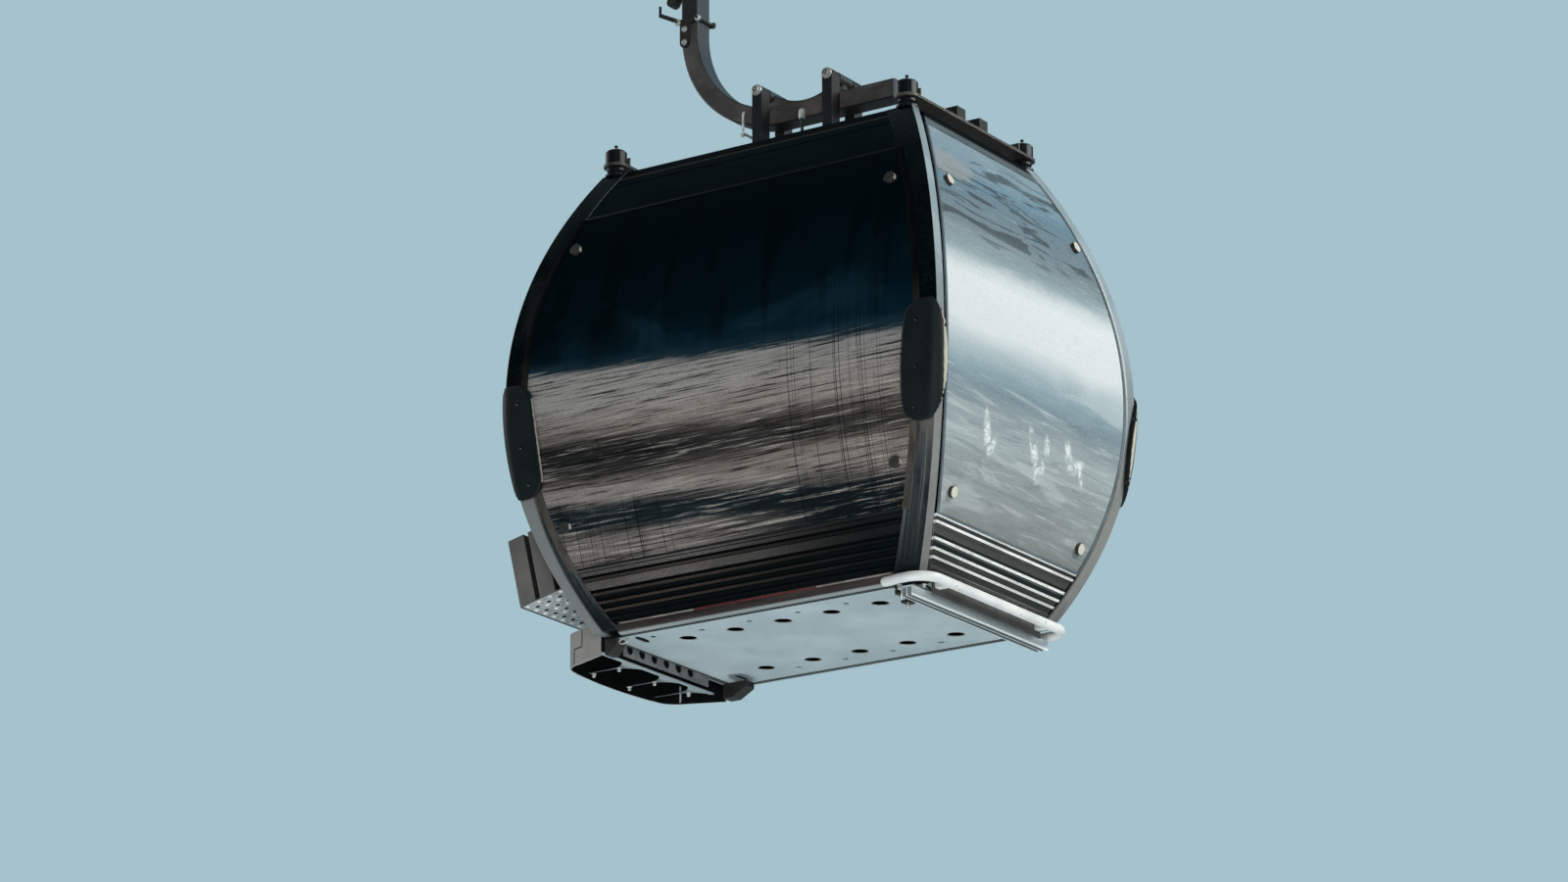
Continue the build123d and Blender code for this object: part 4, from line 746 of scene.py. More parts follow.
nodeFinish = {
    "corner_post": "post", "end_window": "endGlass", "side_window": "sideGlass", "end_skirt": "skirtEnd",
    "side_skirt": "skirtSide", "roof_rails": "roofRail", "floor_rails": "floorRail",
    "floor_sheet": "floorSheet",
    "floor_deck": "floorDeck", "bumper_tube": "bumperWhite", "guide_channel": "channelFace",
    "bumper_carrier": "carrierSteel", "ski_rack": "rackPlastic", "step_housing": "stepPlastic",
    "step_brackets": "blackSteel", "hole_strip": "punchedSteel", "rubber_mounts": "mountRubber",
    "roof_bars": "barSteel", "cross_beams": "frameSteel", "suspension_straps": "frameSteel",
    "hanger_pins": "brightSteel", "hanger_arm": "armSteel", "arm_bracket": "darkSleeve",
    "grip_body": "gripCast",
    "jaw_pin": "brightSteel", "moving_jaw": "jawSteel", "lever_roller": "wheelPlastic",
    "running_wheel": "wheelPlastic", "friction_plate": "wornPlate", "door_leaf": "doorFrame",
    "door_side_panel": "doorFrame", "door_sill": "doorFrame", "door_glass": "doorGlass",
    "roof_panel": "roofShell", "bench": "benchBase", "bumper_pads": "padRubber",
    "window_buttons": "capPlastic",
}
for name, node in nodes.items():
    key = next(key for key in nodeFinish if name.startswith(key))
    node.data.materials.clear()
    node.data.materials.append(finishes[nodeFinish[key]])
print("finishes:", len(finishes))

# Camera
cameraLook = {"place": (13.672, -20.905, -11.241), "yaw": 33.60, "pitch": 17.37, "roll": -0.24,
              "lens": 122.36}
bpy.ops.object.camera_add(location=cameraLook["place"])
camera = bpy.context.object
camera.data.sensor_width = 36
camera.data.lens = cameraLook["lens"]
camera.data.clip_end = 300
turned = (Matrix.Rotation(math.radians(cameraLook["yaw"]), 4, "Z")
          @ Matrix.Rotation(math.radians(90 + cameraLook["pitch"]), 4, "X")
          @ Matrix.Rotation(math.radians(cameraLook["roll"]), 4, "Z"))
camera.matrix_world = Matrix.Translation(cameraLook["place"]) @ turned
bpy.context.scene.camera = camera

# Sky: the daylight fades towards one side, which the cabin's front end mirrors
skyLook = {"seen": (165, 194, 205), "light": (170, 197, 207), "darkSide": (-0.55, -0.80, 0.23),
           "strength": (0.58, 0.06)}
world = bpy.data.worlds.new("paleSky")
bpy.context.scene.world = world
world.use_nodes = True
skyTree = world.node_tree
backdrop = skyTree.nodes["Background"]
backdrop.inputs["Color"].default_value = tint(*skyLook["seen"])
sideways = dotWith(skyTree, objectPlace(skyTree).outputs["Generated"], skyLook["darkSide"])
strength = span(skyTree, sideways, 0.30, 0.85, *skyLook["strength"])
daylight = addNode(skyTree, "Background", {"Color": tint(*skyLook["light"]), "Strength": strength})
seen = addNode(skyTree, "LightPath").outputs["Is Camera Ray"]
sky = addNode(skyTree, "MixShader", {0: seen, 1: daylight.outputs[0], 2: backdrop.outputs[0]})
skyTree.links.new(sky.outputs[0], skyTree.nodes["World Output"].inputs["Surface"])
bpy.context.scene.view_settings.view_transform = "Standard"

lights = {
    "key": {"place": (10, 3.5, 1.5), "size": 5, "power": 1150, "colour": (1, 0.965, 0.91)},
    "fill": {"place": (9, -12, -5), "size": 7, "power": 700, "colour": (1, 0.975, 0.94)},
    "under": {"place": (2, -4, -10), "size": 6, "power": 250, "colour": (0.96, 0.99, 1)},
    "doors": {"place": (-10, -2, 0.5), "size": 7, "power": 340, "colour": (1, 0.99, 0.97)},
}
cabinMiddle = Vector((0, 0, floorZ + shell["widest"]))
for name, look in lights.items():
    bpy.ops.object.light_add(type="AREA", location=look["place"])
    lamp = bpy.context.object
    lamp.name = name
    lamp.data.shape = "DISK"
    lamp.data.size = look["size"]
    lamp.data.energy = look["power"]
    lamp.data.color = look["colour"]
    lamp.rotation_mode = "QUATERNION"
    lamp.rotation_quaternion = (cabinMiddle - Vector(look["place"])).to_track_quat("-Z", "Y")

# Floor: it glows a little to the eye alone, so it is pale and throws no light on the cabin
groundLook = {"size": 160, "height": -11.3, "glow": 0.42, "glowTone": (214, 221, 224)}
bpy.ops.mesh.primitive_plane_add(size=groundLook["size"], location=(0, 0, groundLook["height"]))
ground = bpy.context.object
ground.name = "paleFloor"
floorTree = finishes["paleFloor"].node_tree
floorShader = floorTree.nodes["Principled BSDF"]
floorShader.inputs["Emission Color"].default_value = tint(*groundLook["glowTone"])
glow = times(floorTree, addNode(floorTree, "LightPath").outputs["Is Camera Ray"], groundLook["glow"])
floorTree.links.new(glow, floorShader.inputs["Emission Strength"])
ground.data.materials.append(finishes["paleFloor"])
print("camera, light and floor")


# Bolts, rings, blocks and strips
def makeBolt(radius, tall, washer):
    # hexagonal head on a washer, at the origin and pointing along +Z
    bpy.ops.mesh.primitive_cylinder_add(vertices=6, radius=radius, depth=tall, location=(0, 0, tall * 0.62))
    parts = [bpy.context.object]
    openEdit(parts[0])
    pickEnd(parts[0])
    bpy.ops.mesh.inset(thickness=radius * 0.2)
    bpy.ops.transform.translate(value=(0, 0, tall * 0.12))
    closeEdit()
    if washer:
        bpy.ops.mesh.primitive_cylinder_add(
            vertices=20, radius=radius * washer, depth=tall * 0.24, location=(0, 0, tall * 0.12))
        parts.append(bpy.context.object)
        openEdit(parts[1])
        pickEnd(parts[1])
        bpy.ops.mesh.bevel(offset=radius * 0.1, segments=2)
        closeEdit()
    bolt = joinPieces(parts)
    settle()
    return bolt


def makeRing(radius, wide, tall, around=36, across=8):
    # a flattened ring at the origin, lying across Z
    bpy.ops.mesh.primitive_torus_add(
        major_radius=radius, minor_radius=wide / 2, major_segments=around, minor_segments=across)
    ring = bpy.context.object
    ring.scale.z = tall / wide
    settle()
    return ring


def makeBlock(middle, size, soft, segments=2):
    # a flat plate or block, its edges rounded
    bpy.ops.mesh.primitive_cube_add(size=1, location=middle, scale=size)
    block = bpy.context.object
    settle()
    addModifier(block, "BEVEL", width=soft, segments=segments)
    return block


def makePlate(low, high, soft):
    # the same between two corners
    low, high = Vector(low), Vector(high)
    return makeBlock((low + high) / 2, high - low, soft)


def addCollar(rod, way, wide, tall):
    # a collar at one end of a rod: its end face is widened, then pulled along Z
    openEdit(rod)
    pickEnd(rod, way)
    bpy.ops.mesh.inset(thickness=-wide)
    bpy.ops.mesh.extrude_region_move(TRANSFORM_OT_translate={"value": (0, 0, tall)})
    turnOutwards()
    closeEdit()


def bentRod(points, radius, corner):
    # a round rod through points in one plane, its corners rounded
    bpy.ops.mesh.primitive_circle_add(vertices=len(points), radius=0.1)
    rod = bpy.context.object
    for vertex, point in zip(rod.data.vertices, points):
        vertex.co = point
    openEdit(rod)
    mesh = bmesh.from_edit_mesh(rod.data)
    mesh.verts.ensure_lookup_table()
    ends = {mesh.verts[0], mesh.verts[-1]}
    bpy.ops.mesh.select_all(action="DESELECT")
    for edge in mesh.edges:
        edge.select_set(set(edge.verts) == ends)
    bmesh.update_edit_mesh(rod.data)
    bpy.ops.mesh.delete(type="EDGE")
    bpy.ops.mesh.select_all(action="SELECT")
    bpy.ops.mesh.bevel(offset=corner, segments=6, affect="VERTICES")
    closeEdit()
    bpy.ops.object.convert(target="CURVE")
    rod = bpy.context.object
    rod.data.bevel_depth = radius
    rod.data.bevel_resolution = 3
    rod.data.use_fill_caps = True
    bpy.ops.object.convert(target="MESH")
    return bpy.context.object


def fromEdge(face, inset, side):
    # the place along a wall that lies this far inside its corner, by height
    return lambda height: side * wallEdge(face, height, inset)


def wallStrip(face, low, high, start, end, proud, thick, rows=26):
    # a strip lying on a wall between two heights and two places along the wall
    bpy.ops.mesh.primitive_grid_add(x_subdivisions=1, y_subdivisions=rows, size=2, location=(0, 0, 0))
    strip = bpy.context.object
    for vertex in strip.data.vertices:
        height = low + (high - low) * (vertex.co.y + 1) / 2
        share = (vertex.co.x + 1) / 2
        left, right = [place(height) if callable(place) else place for place in (start, end)]
        vertex.co = wallPoint(face, left * (1 - share) + right * share, height, proud)
    addModifier(strip, "SOLIDIFY", thickness=thick, offset=-1)
    addModifier(strip, "BEVEL", width=thick * 0.25, segments=2)
    return strip


# Bumper pads
padLook = {
    "voxel": 0.006, "soften": 10, "proud": 0.028, "drill": 0.06, "holeRadius": 0.0095, "holeDeep": 0.013,
    "screw": (0.0055, 0.004, 1.5),      # radius, height and the washer's share
    "endHoles": (1.12, 0.90, 0.715), "endInset": 0.095, "sideHoles": (1.085, 0.765), "sideInset": 0.03,
}
pads = cleanCopy("bumper_pads")
addModifier(pads, "REMESH", mode="VOXEL", voxel_size=padLook["voxel"])
addModifier(pads, "SMOOTH", factor=0.5, iterations=padLook["soften"])
screwPlaces = []
for face in outwards:
    kind = "end" if face in ("front", "back") else "side"
    for height in padLook[kind + "Holes"]:
        for side in bothSides:
            along = side * wallEdge(face, height, padLook[kind + "Inset"])
            screwPlaces.append((wallPoint(face, along, height, padLook["proud"]), wallNormal(face, height)))
bpy.ops.mesh.primitive_cylinder_add(
    vertices=20, radius=padLook["holeRadius"], depth=padLook["drill"],
    location=(0, 0, padLook["drill"] / 2 - padLook["holeDeep"]))
settle()
drills = copyTo(bpy.context.object, screwPlaces)
addModifier(pads, "BOOLEAN", operation="DIFFERENCE", solver="FAST", object=drills)
bpy.data.objects.remove(drills)
finishPiece(pads, "padCovers", "padRubber", 55)
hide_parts("bumper_pads")
screws = copyTo(makeBolt(*padLook["screw"]), [
    (place - normal * padLook["holeDeep"], normal) for place, normal in screwPlaces])
finishPiece(screws, "padScrews", "darkSleeve")
print("bumper pads")

# Gaskets round the panes: upright strips by the posts, and a line below and above
gasketLook = {
    "proud": 0.0015, "thick": 0.0075, "line": 0.009, "below": 0.004, "above": 0.005,
    "end": {"low": 0.285, "high": 2.095, "outer": 0.094, "inner": 0.131, "line": 0.13},
    "far": {"low": 0.268, "high": 2.275, "outer": 0.084, "inner": 0.098, "line": 0.098},
}


def paneGasket(face, pane):
    relief = (gasketLook["proud"], gasketLook["thick"])
    upright = []
    for side, insets in ((-1, (pane["outer"], pane["inner"])), (1, (pane["inner"], pane["outer"]))):
        start, end = [fromEdge(face, inset, side) for inset in insets]
        upright.append(wallStrip(face, pane["low"] - gasketLook["below"], pane["high"], start, end, *relief))
    lines = []
    for height in (pane["low"] + gasketLook["above"], pane["high"] + gasketLook["above"]):
        start, end = [fromEdge(face, pane["line"], side) for side in bothSides]
        lines.append(wallStrip(face, height - gasketLook["line"], height, start, end, *relief, 1))
    return upright, lines


for face, side in bothEnds:
    upright, lines = paneGasket(face, gasketLook["end"])
    finishPiece(upright, face + "PaneStrips", "dustyGasket", 40)
    finishPiece(lines, face + "PaneLines", "gasket", 40)
upright, lines = paneGasket("far", gasketLook["far"])
finishPiece(upright + lines, "farPaneGasket", "paleGasket", 40)
print("gaskets")

# Reflective line low on both ends
reflectorLook = {"tall": 0.007, "proud": 0.0015, "height": 0.030, "soft": 0.0006,
                 "red": ((-0.355, 0.34),), "pale": ((-0.78, -0.36), (0.345, 0.78))}
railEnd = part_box("floor_rails")[1].y + reflectorLook["proud"] / 2
for name in ("red", "pale"):
    parts = [makeBlock(((side * (start + end) / 2), side * railEnd, floorZ + reflectorLook["height"]),
                       (end - start, reflectorLook["proud"], reflectorLook["tall"]), reflectorLook["soft"])
             for start, end in reflectorLook[name] for side in bothSides]
    finishPiece(parts, name + "Line", name + "Reflector", 40)

# Domed ends of the bumper tube
tubeLook = {"radius": 0.02415, "tip": (0.072 - 0.238, 0.030, -0.018), "way": (-0.078, -0.014)}
tipX = wallOut(shell["halfWidth"], 0) + tubeLook["tip"][0]
tipY = wallOut(shell["halfLength"], 0) + tubeLook["tip"][1]
bpy.ops.mesh.primitive_uv_sphere_add(segments=24, ring_count=12, radius=tubeLook["radius"],
                                     location=(0, 0, 0))
dome = bpy.context.object
openEdit(dome, True)
bpy.ops.mesh.bisect(plane_co=(0, 0, -0.001), plane_no=upward, clear_inner=True, use_fill=True)
closeEdit()
wayX, wayY = Vector(tubeLook["way"]).normalized()
domes = copyTo(dome, [
    ((tipX, side * tipY, floorZ + tubeLook["tip"][2]), (wayX, side * wayY, 0)) for side in bothSides])
finishPiece(domes, "tubeEnds", "bumperWhite", 40)
print("bumper tube")

# Punched plates under the ski racks
rackLook = {
    "low": 0.266, "tall": 0.362, "tilt": 13, "start": 0.003, "back": 0.0025, "proud": 0.006,
    "pitch": (0.0345, 0.0367), "holes": (0.0146, 0.0055), "lips": (0.003, 0.001),      # wide hole, small hole
    "rim": 0.0045, "stud": 0.85, "rows": 4, "columns": 8, "thick": 0.0015,
}
rackMiddle = rackLook["low"] + rackLook["tall"] / 2
rackLean = math.radians(rackLook["tilt"])
rackOut = Vector((-math.cos(rackLean), 0, -math.sin(rackLean)))
rackUp = Vector((-math.sin(rackLean), 0, math.cos(rackLean)))
rackFoot = Vector((-wallOut(shell["halfWidth"], rackMiddle), 0, floorZ + rackMiddle))
rackFoot -= rackUp * rackLook["tall"] / 2
rackFoot += rackOut * rackLook["proud"] - rackUp * rackLook["back"]
# four squares: a wide hole, a small one, another small one and a stud, then rows and columns of them
pitch = Vector((*rackLook["pitch"], 0))
wideHole = rackLook["holes"][0]
squares = [Vector(((column + 0.5) * pitch.x, (row + 0.5) * pitch.y, 0))
           for column in (0, 1) for row in (0, 1)]
holes = list(zip(squares, (0, 1, 1)))


def nearHole(place, reach):
    # the hole whose middle is within a share of its square
    for middle, kind in holes:
        if abs(place.x - middle.x) < pitch.x * reach and abs(place.y - middle.y) < pitch.y * reach:
            return middle, kind
    return None


bpy.ops.mesh.primitive_grid_add(x_subdivisions=8, y_subdivisions=8, size=2, location=(0, 0, 0))
plate = bpy.context.object
for vertex in plate.data.vertices:
    vertex.co = ((vertex.co.x + 1) * pitch.x, (vertex.co.y + 1) * pitch.y, 0)
openEdit(plate)
pickFaces(plate, lambda place, normal: nearHole(place, 0.25) is not None)
bpy.ops.mesh.delete(type="FACE")
closeEdit()
for vertex in plate.data.vertices:
    found = nearHole(vertex.co, 0.3)
    if found:
        middle, kind = found
        away = (vertex.co - middle).normalized() * rackLook["holes"][kind]
        vertex.co = (middle.x + away.x, middle.y + away.y, -rackLook["lips"][kind])
for count, way in ((rackLook["rows"], (1, 0, 0)), (rackLook["columns"], (0, 1, 0))):
    addModifier(plate, "ARRAY", count=count, relative_offset_displace=way, use_merge_vertices=True,
                merge_threshold=0.0005)
addModifier(plate, "SOLIDIFY", thickness=rackLook["thick"], offset=1)
# a bright rim round each wide hole, a black disc behind it as painted shade in the hole, and domed studs
# between
spots = [Vector((2 * pitch.x * row, 2 * pitch.y * column, 0))
         for row in range(rackLook["rows"]) for column in range(rackLook["columns"])]
drop = Vector((0, 0, -rackLook["lips"][0]))
rim = makeRing(wideHole, rackLook["rim"], rackLook["rim"] / 2, 12, 4)
bpy.ops.mesh.primitive_uv_sphere_add(segments=10, ring_count=6, radius=wideHole * rackLook["stud"])
stud = bpy.context.object
stud.scale.z = 0.35
settle()
# black discs: painted shade behind the wide holes
bpy.ops.mesh.primitive_cylinder_add(vertices=12, radius=wideHole * 0.94, depth=0.001)
dark = copyTo(bpy.context.object, [(squares[0] + spot + drop * 1.1, upward) for spot in spots])
trim = joinPieces([copyTo(rim, [(squares[0] + spot + drop, upward) for spot in spots]),
                   copyTo(stud, [(squares[3] + spot, upward) for spot in spots])])
width = rackLook["columns"] * pitch.y * 2
for name, start in (("back", -rackLook["start"]), ("front", rackLook["start"])):
    start -= width if name == "back" else 0
    stand = Matrix((
        (rackOut.x, 0, rackUp.x, rackFoot.x),
        (0, -1, 0, -start),
        (rackOut.z, 0, rackUp.z, rackFoot.z),
        (0, 0, 0, 1)))
    for source, kind, finish, smooth in (
            (plate, "Plate", "rackPlate", 50), (trim, "Rims", "rackRim", 50),
            (dark, "Holes", "blackInside", 0)):
        finishPiece(copyOf(source, stand), name + "Rack" + kind, finish, smooth)
for source in (plate, trim, dark):
    bpy.data.objects.remove(source)
print("rack plates")

# Arms, bolts, pale strip and end seams of the step
stepLook = {
    "rootX": -0.950, "tipX": -1.225, "height": -0.075, "thick": 0.0025, "tip": 0.0035, "root": 0.120,
    "arms": (-0.235, 0.085, 0.335), "strip": (-0.52, 0.44), "stripSize": (0.026, 0.006),
    "bolt": (0.009, 0.015, 1.4), "sunk": 0.002, "soft": 0.001,
    "bolts": ((-1.205, -0.218), (-1.038, -0.24), (-1.207, 0.088), (-1.048, 0.079), (-1.031, 0.352)),
    "rod": {"radius": 0.0045, "depth": 0.075}, "rodPlace": (-1.072, 0.338, -0.086),
    "rodCollar": (0.006, 0.008),
    "outer": (-1.218, -0.434), "inner": (-0.933, -0.545), "seamWide": 0.0035, "seamThick": 0.002,
    "seam": ((0.141, 0.072), (0.141, -0.014), (0.071, -0.015), (0.071, -0.090)),
}
stepZ = floorZ + stepLook["height"]
arms = []
for middle in stepLook["arms"]:
    bpy.ops.mesh.primitive_grid_add(x_subdivisions=16, y_subdivisions=2, size=2, location=(0, 0, 0))
    arm = bpy.context.object
    for vertex in arm.data.vertices:
        share = (vertex.co.x + 1) / 2
        half = stepLook["tip"] + stepLook["root"] * (1 - share) ** 6
        reach = (stepLook["tipX"] - stepLook["rootX"]) * share
        vertex.co = (stepLook["rootX"] + reach, middle - half * vertex.co.y, stepZ)
    addModifier(arm, "SOLIDIFY", thickness=stepLook["thick"], offset=0)
    addModifier(arm, "BEVEL", width=stepLook["soft"], segments=2)
    arms.append(arm)
start, end = stepLook["strip"]
wide, tall = stepLook["stripSize"]
arms.append(makeBlock((stepLook["rootX"], (start + end) / 2, stepZ), (wide, end - start, tall),
                      stepLook["soft"]))
finishPiece(arms, "stepArms", "greyPlate", 40)
bolts = copyTo(makeBolt(*stepLook["bolt"]), [
    ((x, y, stepZ - stepLook["sunk"]), downward) for x, y in stepLook["bolts"]])
rodX, rodY, rodZ = stepLook["rodPlace"]
bpy.ops.mesh.primitive_cylinder_add(vertices=16, location=(rodX, rodY, floorZ + rodZ), **stepLook["rod"])
rod = bpy.context.object
addCollar(rod, 1, *stepLook["rodCollar"])
finishPiece([bolts, rod], "stepBolts", "brightSteel")
seams = []
outer, inner = Vector((*stepLook["outer"], 0)), Vector((*stepLook["inner"], 0))
wallWay = (inner - outer).normalized()
turn = Matrix.Rotation(math.atan2(wallWay.y, wallWay.x), 4, "Z")
for side in bothSides:
    for (start, high), (end, low) in zip(stepLook["seam"], stepLook["seam"][1:]):
        wide, tall = abs(end - start) + stepLook["seamWide"], abs(high - low) + stepLook["seamWide"]
        line = makeBlock((0, 0, 0), (wide, stepLook["seamThick"], tall), stepLook["seamThick"] / 4, 1)
        place = outer + wallWay * (start + end) / 2 + Vector((0, 0, floorZ + (high + low) / 2))
        line.data.transform(Matrix.Translation(place) @ turn)
        if side > 0:
            line.data.transform(Matrix.Diagonal((1, -1, 1, 1)))
            line.data.flip_normals()
        seams.append(line)
finishPiece(seams, "stepSeams", "gasket", 0)
print("step arms")


def addFinishes(name, *finishNames):
    # gives a CAD node more finishes, for painting it face by face
    for finish in finishNames:
        nodes[name].data.materials.append(finishes[finish])
    return nodes[name].data.polygons


# The step housing is pale outside; painted shade makes it black inside, and a painted highlight makes its
# lower rim bright
paintLook = {"rim": 0.01, "lip": 0.004, "side": 0.001, "bracket": 0.0105}
housingLow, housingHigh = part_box("step_housing")
housingMiddle = Vector(((housingLow.x + housingHigh.x) / 2, 0, 0))
rims = 0
for face in addFinishes("step_housing", "blackInside", "stepRim"):
    outward = face.center - housingMiddle
    if face.normal.z < -0.5:
        onRim = face.center.z < housingLow.z + paintLook["rim"]
        face.material_index = 2 if onRim else 1
        rims += onRim
    elif abs(face.normal.z) < 0.5 and face.normal.x * outward.x + face.normal.y * outward.y < 0:
        face.material_index = 1
print("step housing:", rims, "rim faces")

# The guide channel gets painted shade inside its two grooves and a painted highlight on its lower edges; the
# bumper's brackets are pale
innerLow, innerHigh = channelLow.x + paintLook["side"], channelHigh.x - paintLook["side"]
for face in addFinishes("guide_channel", "channelInside", "channelLip"):
    if face.normal.z < -0.5:
        face.material_index = 2 if face.center.z < channelLow.z + paintLook["lip"] else 1
    elif abs(face.normal.x) > 0.5 and innerLow < face.center.x < innerHigh:
        face.material_index = 1
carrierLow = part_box("bumper_carrier")[0]
for face in addFinishes("bumper_carrier", "bumperWhite"):
    face.material_index = int(face.center.x > carrierLow.x + paintLook["bracket"])

# Arm: wire loop and saddle on the beam, nuts, seals and tie rods
beamLook = {
    "height": 2.71, "halfWide": 0.068, "top": 0.058, "low": -0.078, "wireX": -0.412, "wire": 0.006,
    "corner": 0.022,
    "saddle": (0.020, 0.14, 0.006), "saddleZ": -0.060, "nut": (0.010, 0.009, 1.4), "nutZ": -0.066,
}
beamZ = floorZ + beamLook["height"]
halfWide, wireX = beamLook["halfWide"], beamLook["wireX"]
topZ, lowZ = beamZ + beamLook["top"], beamZ + beamLook["low"]
loop = bentRod([(wireX, -halfWide, lowZ), (wireX, -halfWide, topZ),
                (wireX, halfWide, topZ), (wireX, halfWide, lowZ)], beamLook["wire"], beamLook["corner"])
saddle = makeBlock((wireX, 0, beamZ + beamLook["saddleZ"]), beamLook["saddle"], 0.003)
finishPiece([loop, saddle], "beamClamp", "rackRim", 40)
nutPlaces = [((wireX, side * halfWide, beamZ + beamLook["nutZ"]), downward) for side in bothSides]
finishPiece(copyTo(makeBolt(*beamLook["nut"]), nutPlaces), "beamClampNuts", "brightSteel")

pinLook = {"x": (-0.28, 0.14), "inset": 0.020, "nut": (0.0205, 0.014, 1.42), "seal": (0.0105, 0.0045, 0.0012)}
pinLow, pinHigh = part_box("hanger_pins")
pinZ = (pinLow.z + pinHigh.z) / 2
pinEnds = [((x, side * pinHigh.y, pinZ), (0, side, 0)) for x in pinLook["x"] for side in bothSides]
nutPlaces = [(Vector(place) - Vector(way) * pinLook["inset"], way) for place, way in pinEnds]
finishPiece(copyTo(makeBolt(*pinLook["nut"]), nutPlaces), "pinNuts", "brightSteel")
finishPiece(copyTo(makeRing(*pinLook["seal"]), pinEnds), "pinSeals", "blackInside", 60)

clampLook = {"y": 0.069, "headX": -0.771, "heads": (3.222, 3.294), "head": (0.0115, 0.009, 1.45),
             "endX": (-0.8125, -0.6875), "ends": 3.338, "end": (0.0125, 0.012, 1.4)}
heads = copyTo(makeBolt(*clampLook["head"]), [
    ((clampLook["headX"], -clampLook["y"], floorZ + height), (0, -1, 0)) for height in clampLook["heads"]])
clampEnds = copyTo(makeBolt(*clampLook["end"]), [
    ((x, side * clampLook["y"], floorZ + clampLook["ends"]), (0, side, 0))
    for x in clampLook["endX"] for side in bothSides])
finishPiece([heads, clampEnds], "clampNuts", "brightSteel")

tieLook = {"x": -0.02, "y": 0.122, "foot": 2.494, "low": 2.627, "high": 2.672, "shank": 0.008,
           "collar": (0.007, 0.012), "head": 0.017, "sunk": 0.004}
ties = []
for side in bothSides:
    bpy.ops.mesh.primitive_cylinder_add(
        vertices=20, radius=tieLook["shank"], depth=tieLook["low"] - tieLook["foot"],
        location=(tieLook["x"], side * tieLook["y"], floorZ + (tieLook["low"] + tieLook["foot"]) / 2))
    ties.append(bpy.context.object)
    addCollar(ties[-1], -1, *tieLook["collar"])
finishPiece(ties, "tieRods", "blackSteel")
tieZ = floorZ + tieLook["low"] - tieLook["sunk"]
caps = copyTo(makeBolt(tieLook["head"], tieLook["high"] - tieLook["low"], 0), [
    ((tieLook["x"], side * tieLook["y"], tieZ), upward) for side in bothSides])
finishPiece(caps, "tieNuts", "brightSteel")

mountLook = {"x": 0.861, "y": 0.536, "height": 2.500, "nut": (0.0165, 0.0125, 1.6)}
mountZ = floorZ + mountLook["height"]
mountNuts = copyTo(makeBolt(*mountLook["nut"]), [
    ((x * mountLook["x"], y * mountLook["y"], mountZ), upward) for x in bothSides for y in bothSides])
finishPiece(mountNuts, "mountNuts", "brightSteel")
print("arm fittings")

# Floor: rims of the holes, and black plates as painted shade: dark grooves in the edge rails, drain slots, a
# plate behind the punched strip
floorLook = {
    "under": -0.022, "spacing": 0.277, "big": (0.340, 0.0440, 0.004, 0.002, (-2, -1, 0, 1, 2)),
    "small": (0.425, 0.0185, 0.002, 0.001, (-1.5, -0.5, 0.5, 1.5)),
    "grooves": ((0.541, 0.010), (0.560, 0.014)), "grooveProud": 0.0004, "railInset": 0.065, "railY": 0.536,
    "slots": (((-0.766, -0.508), (-0.734, -0.394)), ((-0.691, -0.470), (-0.667, -0.446))),
}
sheetZ = floorZ + floorLook["under"]
rings = []
for kind in ("big", "small"):
    rowY, radius, wide, tall, places = floorLook[kind]
    rings.append(copyTo(makeRing(radius, wide, tall), [
        ((floorLook["spacing"] * step, side * rowY, sheetZ), upward)
        for step in places for side in bothSides]))
finishPiece(rings, "holeRims", "aluminium", 60)


def shadowPlate(low, high):
    # a thin plate just proud of the floor's underside, which shows as a dark gap of painted shade
    return makePlate((*low, sheetZ - floorLook["grooveProud"]), (*high, sheetZ + 0.001), 0.0002)


grooves = []
sideEdge = wallOut(shell["halfWidth"], 0) - floorLook["railInset"]
for place, wide in floorLook["grooves"]:
    reach = sideEdge + place - floorLook["railY"]
    for side in bothSides:
        low, high = sorted((side * (place - wide / 2), side * (place + wide / 2)))
        grooves.append(shadowPlate((-reach, low), (reach, high)))
        low, high = sorted((side * (reach - wide / 2), side * (reach + wide / 2)))
        grooves.append(shadowPlate((low, -place), (high, place)))
finishPiece(grooves, "railGrooves", "blackInside", 0)
slots = []
for low, high in floorLook["slots"]:
    slot = shadowPlate(low, high)
    openEdit(slot, True)
    bpy.ops.mesh.subdivide(number_cuts=5)
    closeEdit()
    middle, half = (Vector(low) + Vector(high)) / 2, (Vector(high) - Vector(low)) / 2
    for vertex in slot.data.vertices:
        away = abs(vertex.co.y - middle.y) / half.y
        vertex.co.x = middle.x + (vertex.co.x - middle.x) * math.sqrt(max(1 - away ** 3, 0.02))
    slots.append(slot)
finishPiece(slots, "drainSlots", "blackInside", 0)
# painted shade: a black plate behind the punched strip, seen through its holes
backingLook = {"low": (-0.003, 0.006, 0.010), "high": (-0.0005, -0.006, -0.0005), "soft": 0.0005}
stripLow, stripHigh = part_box("hole_strip")
stripFar = Vector((stripLow.x, stripHigh.y, stripHigh.z))
backing = makePlate(stripLow + Vector(backingLook["low"]), stripFar + Vector(backingLook["high"]),
                    backingLook["soft"])
finishPiece(backing, "stripBacking", "blackInside", 0)
print("floor trim")

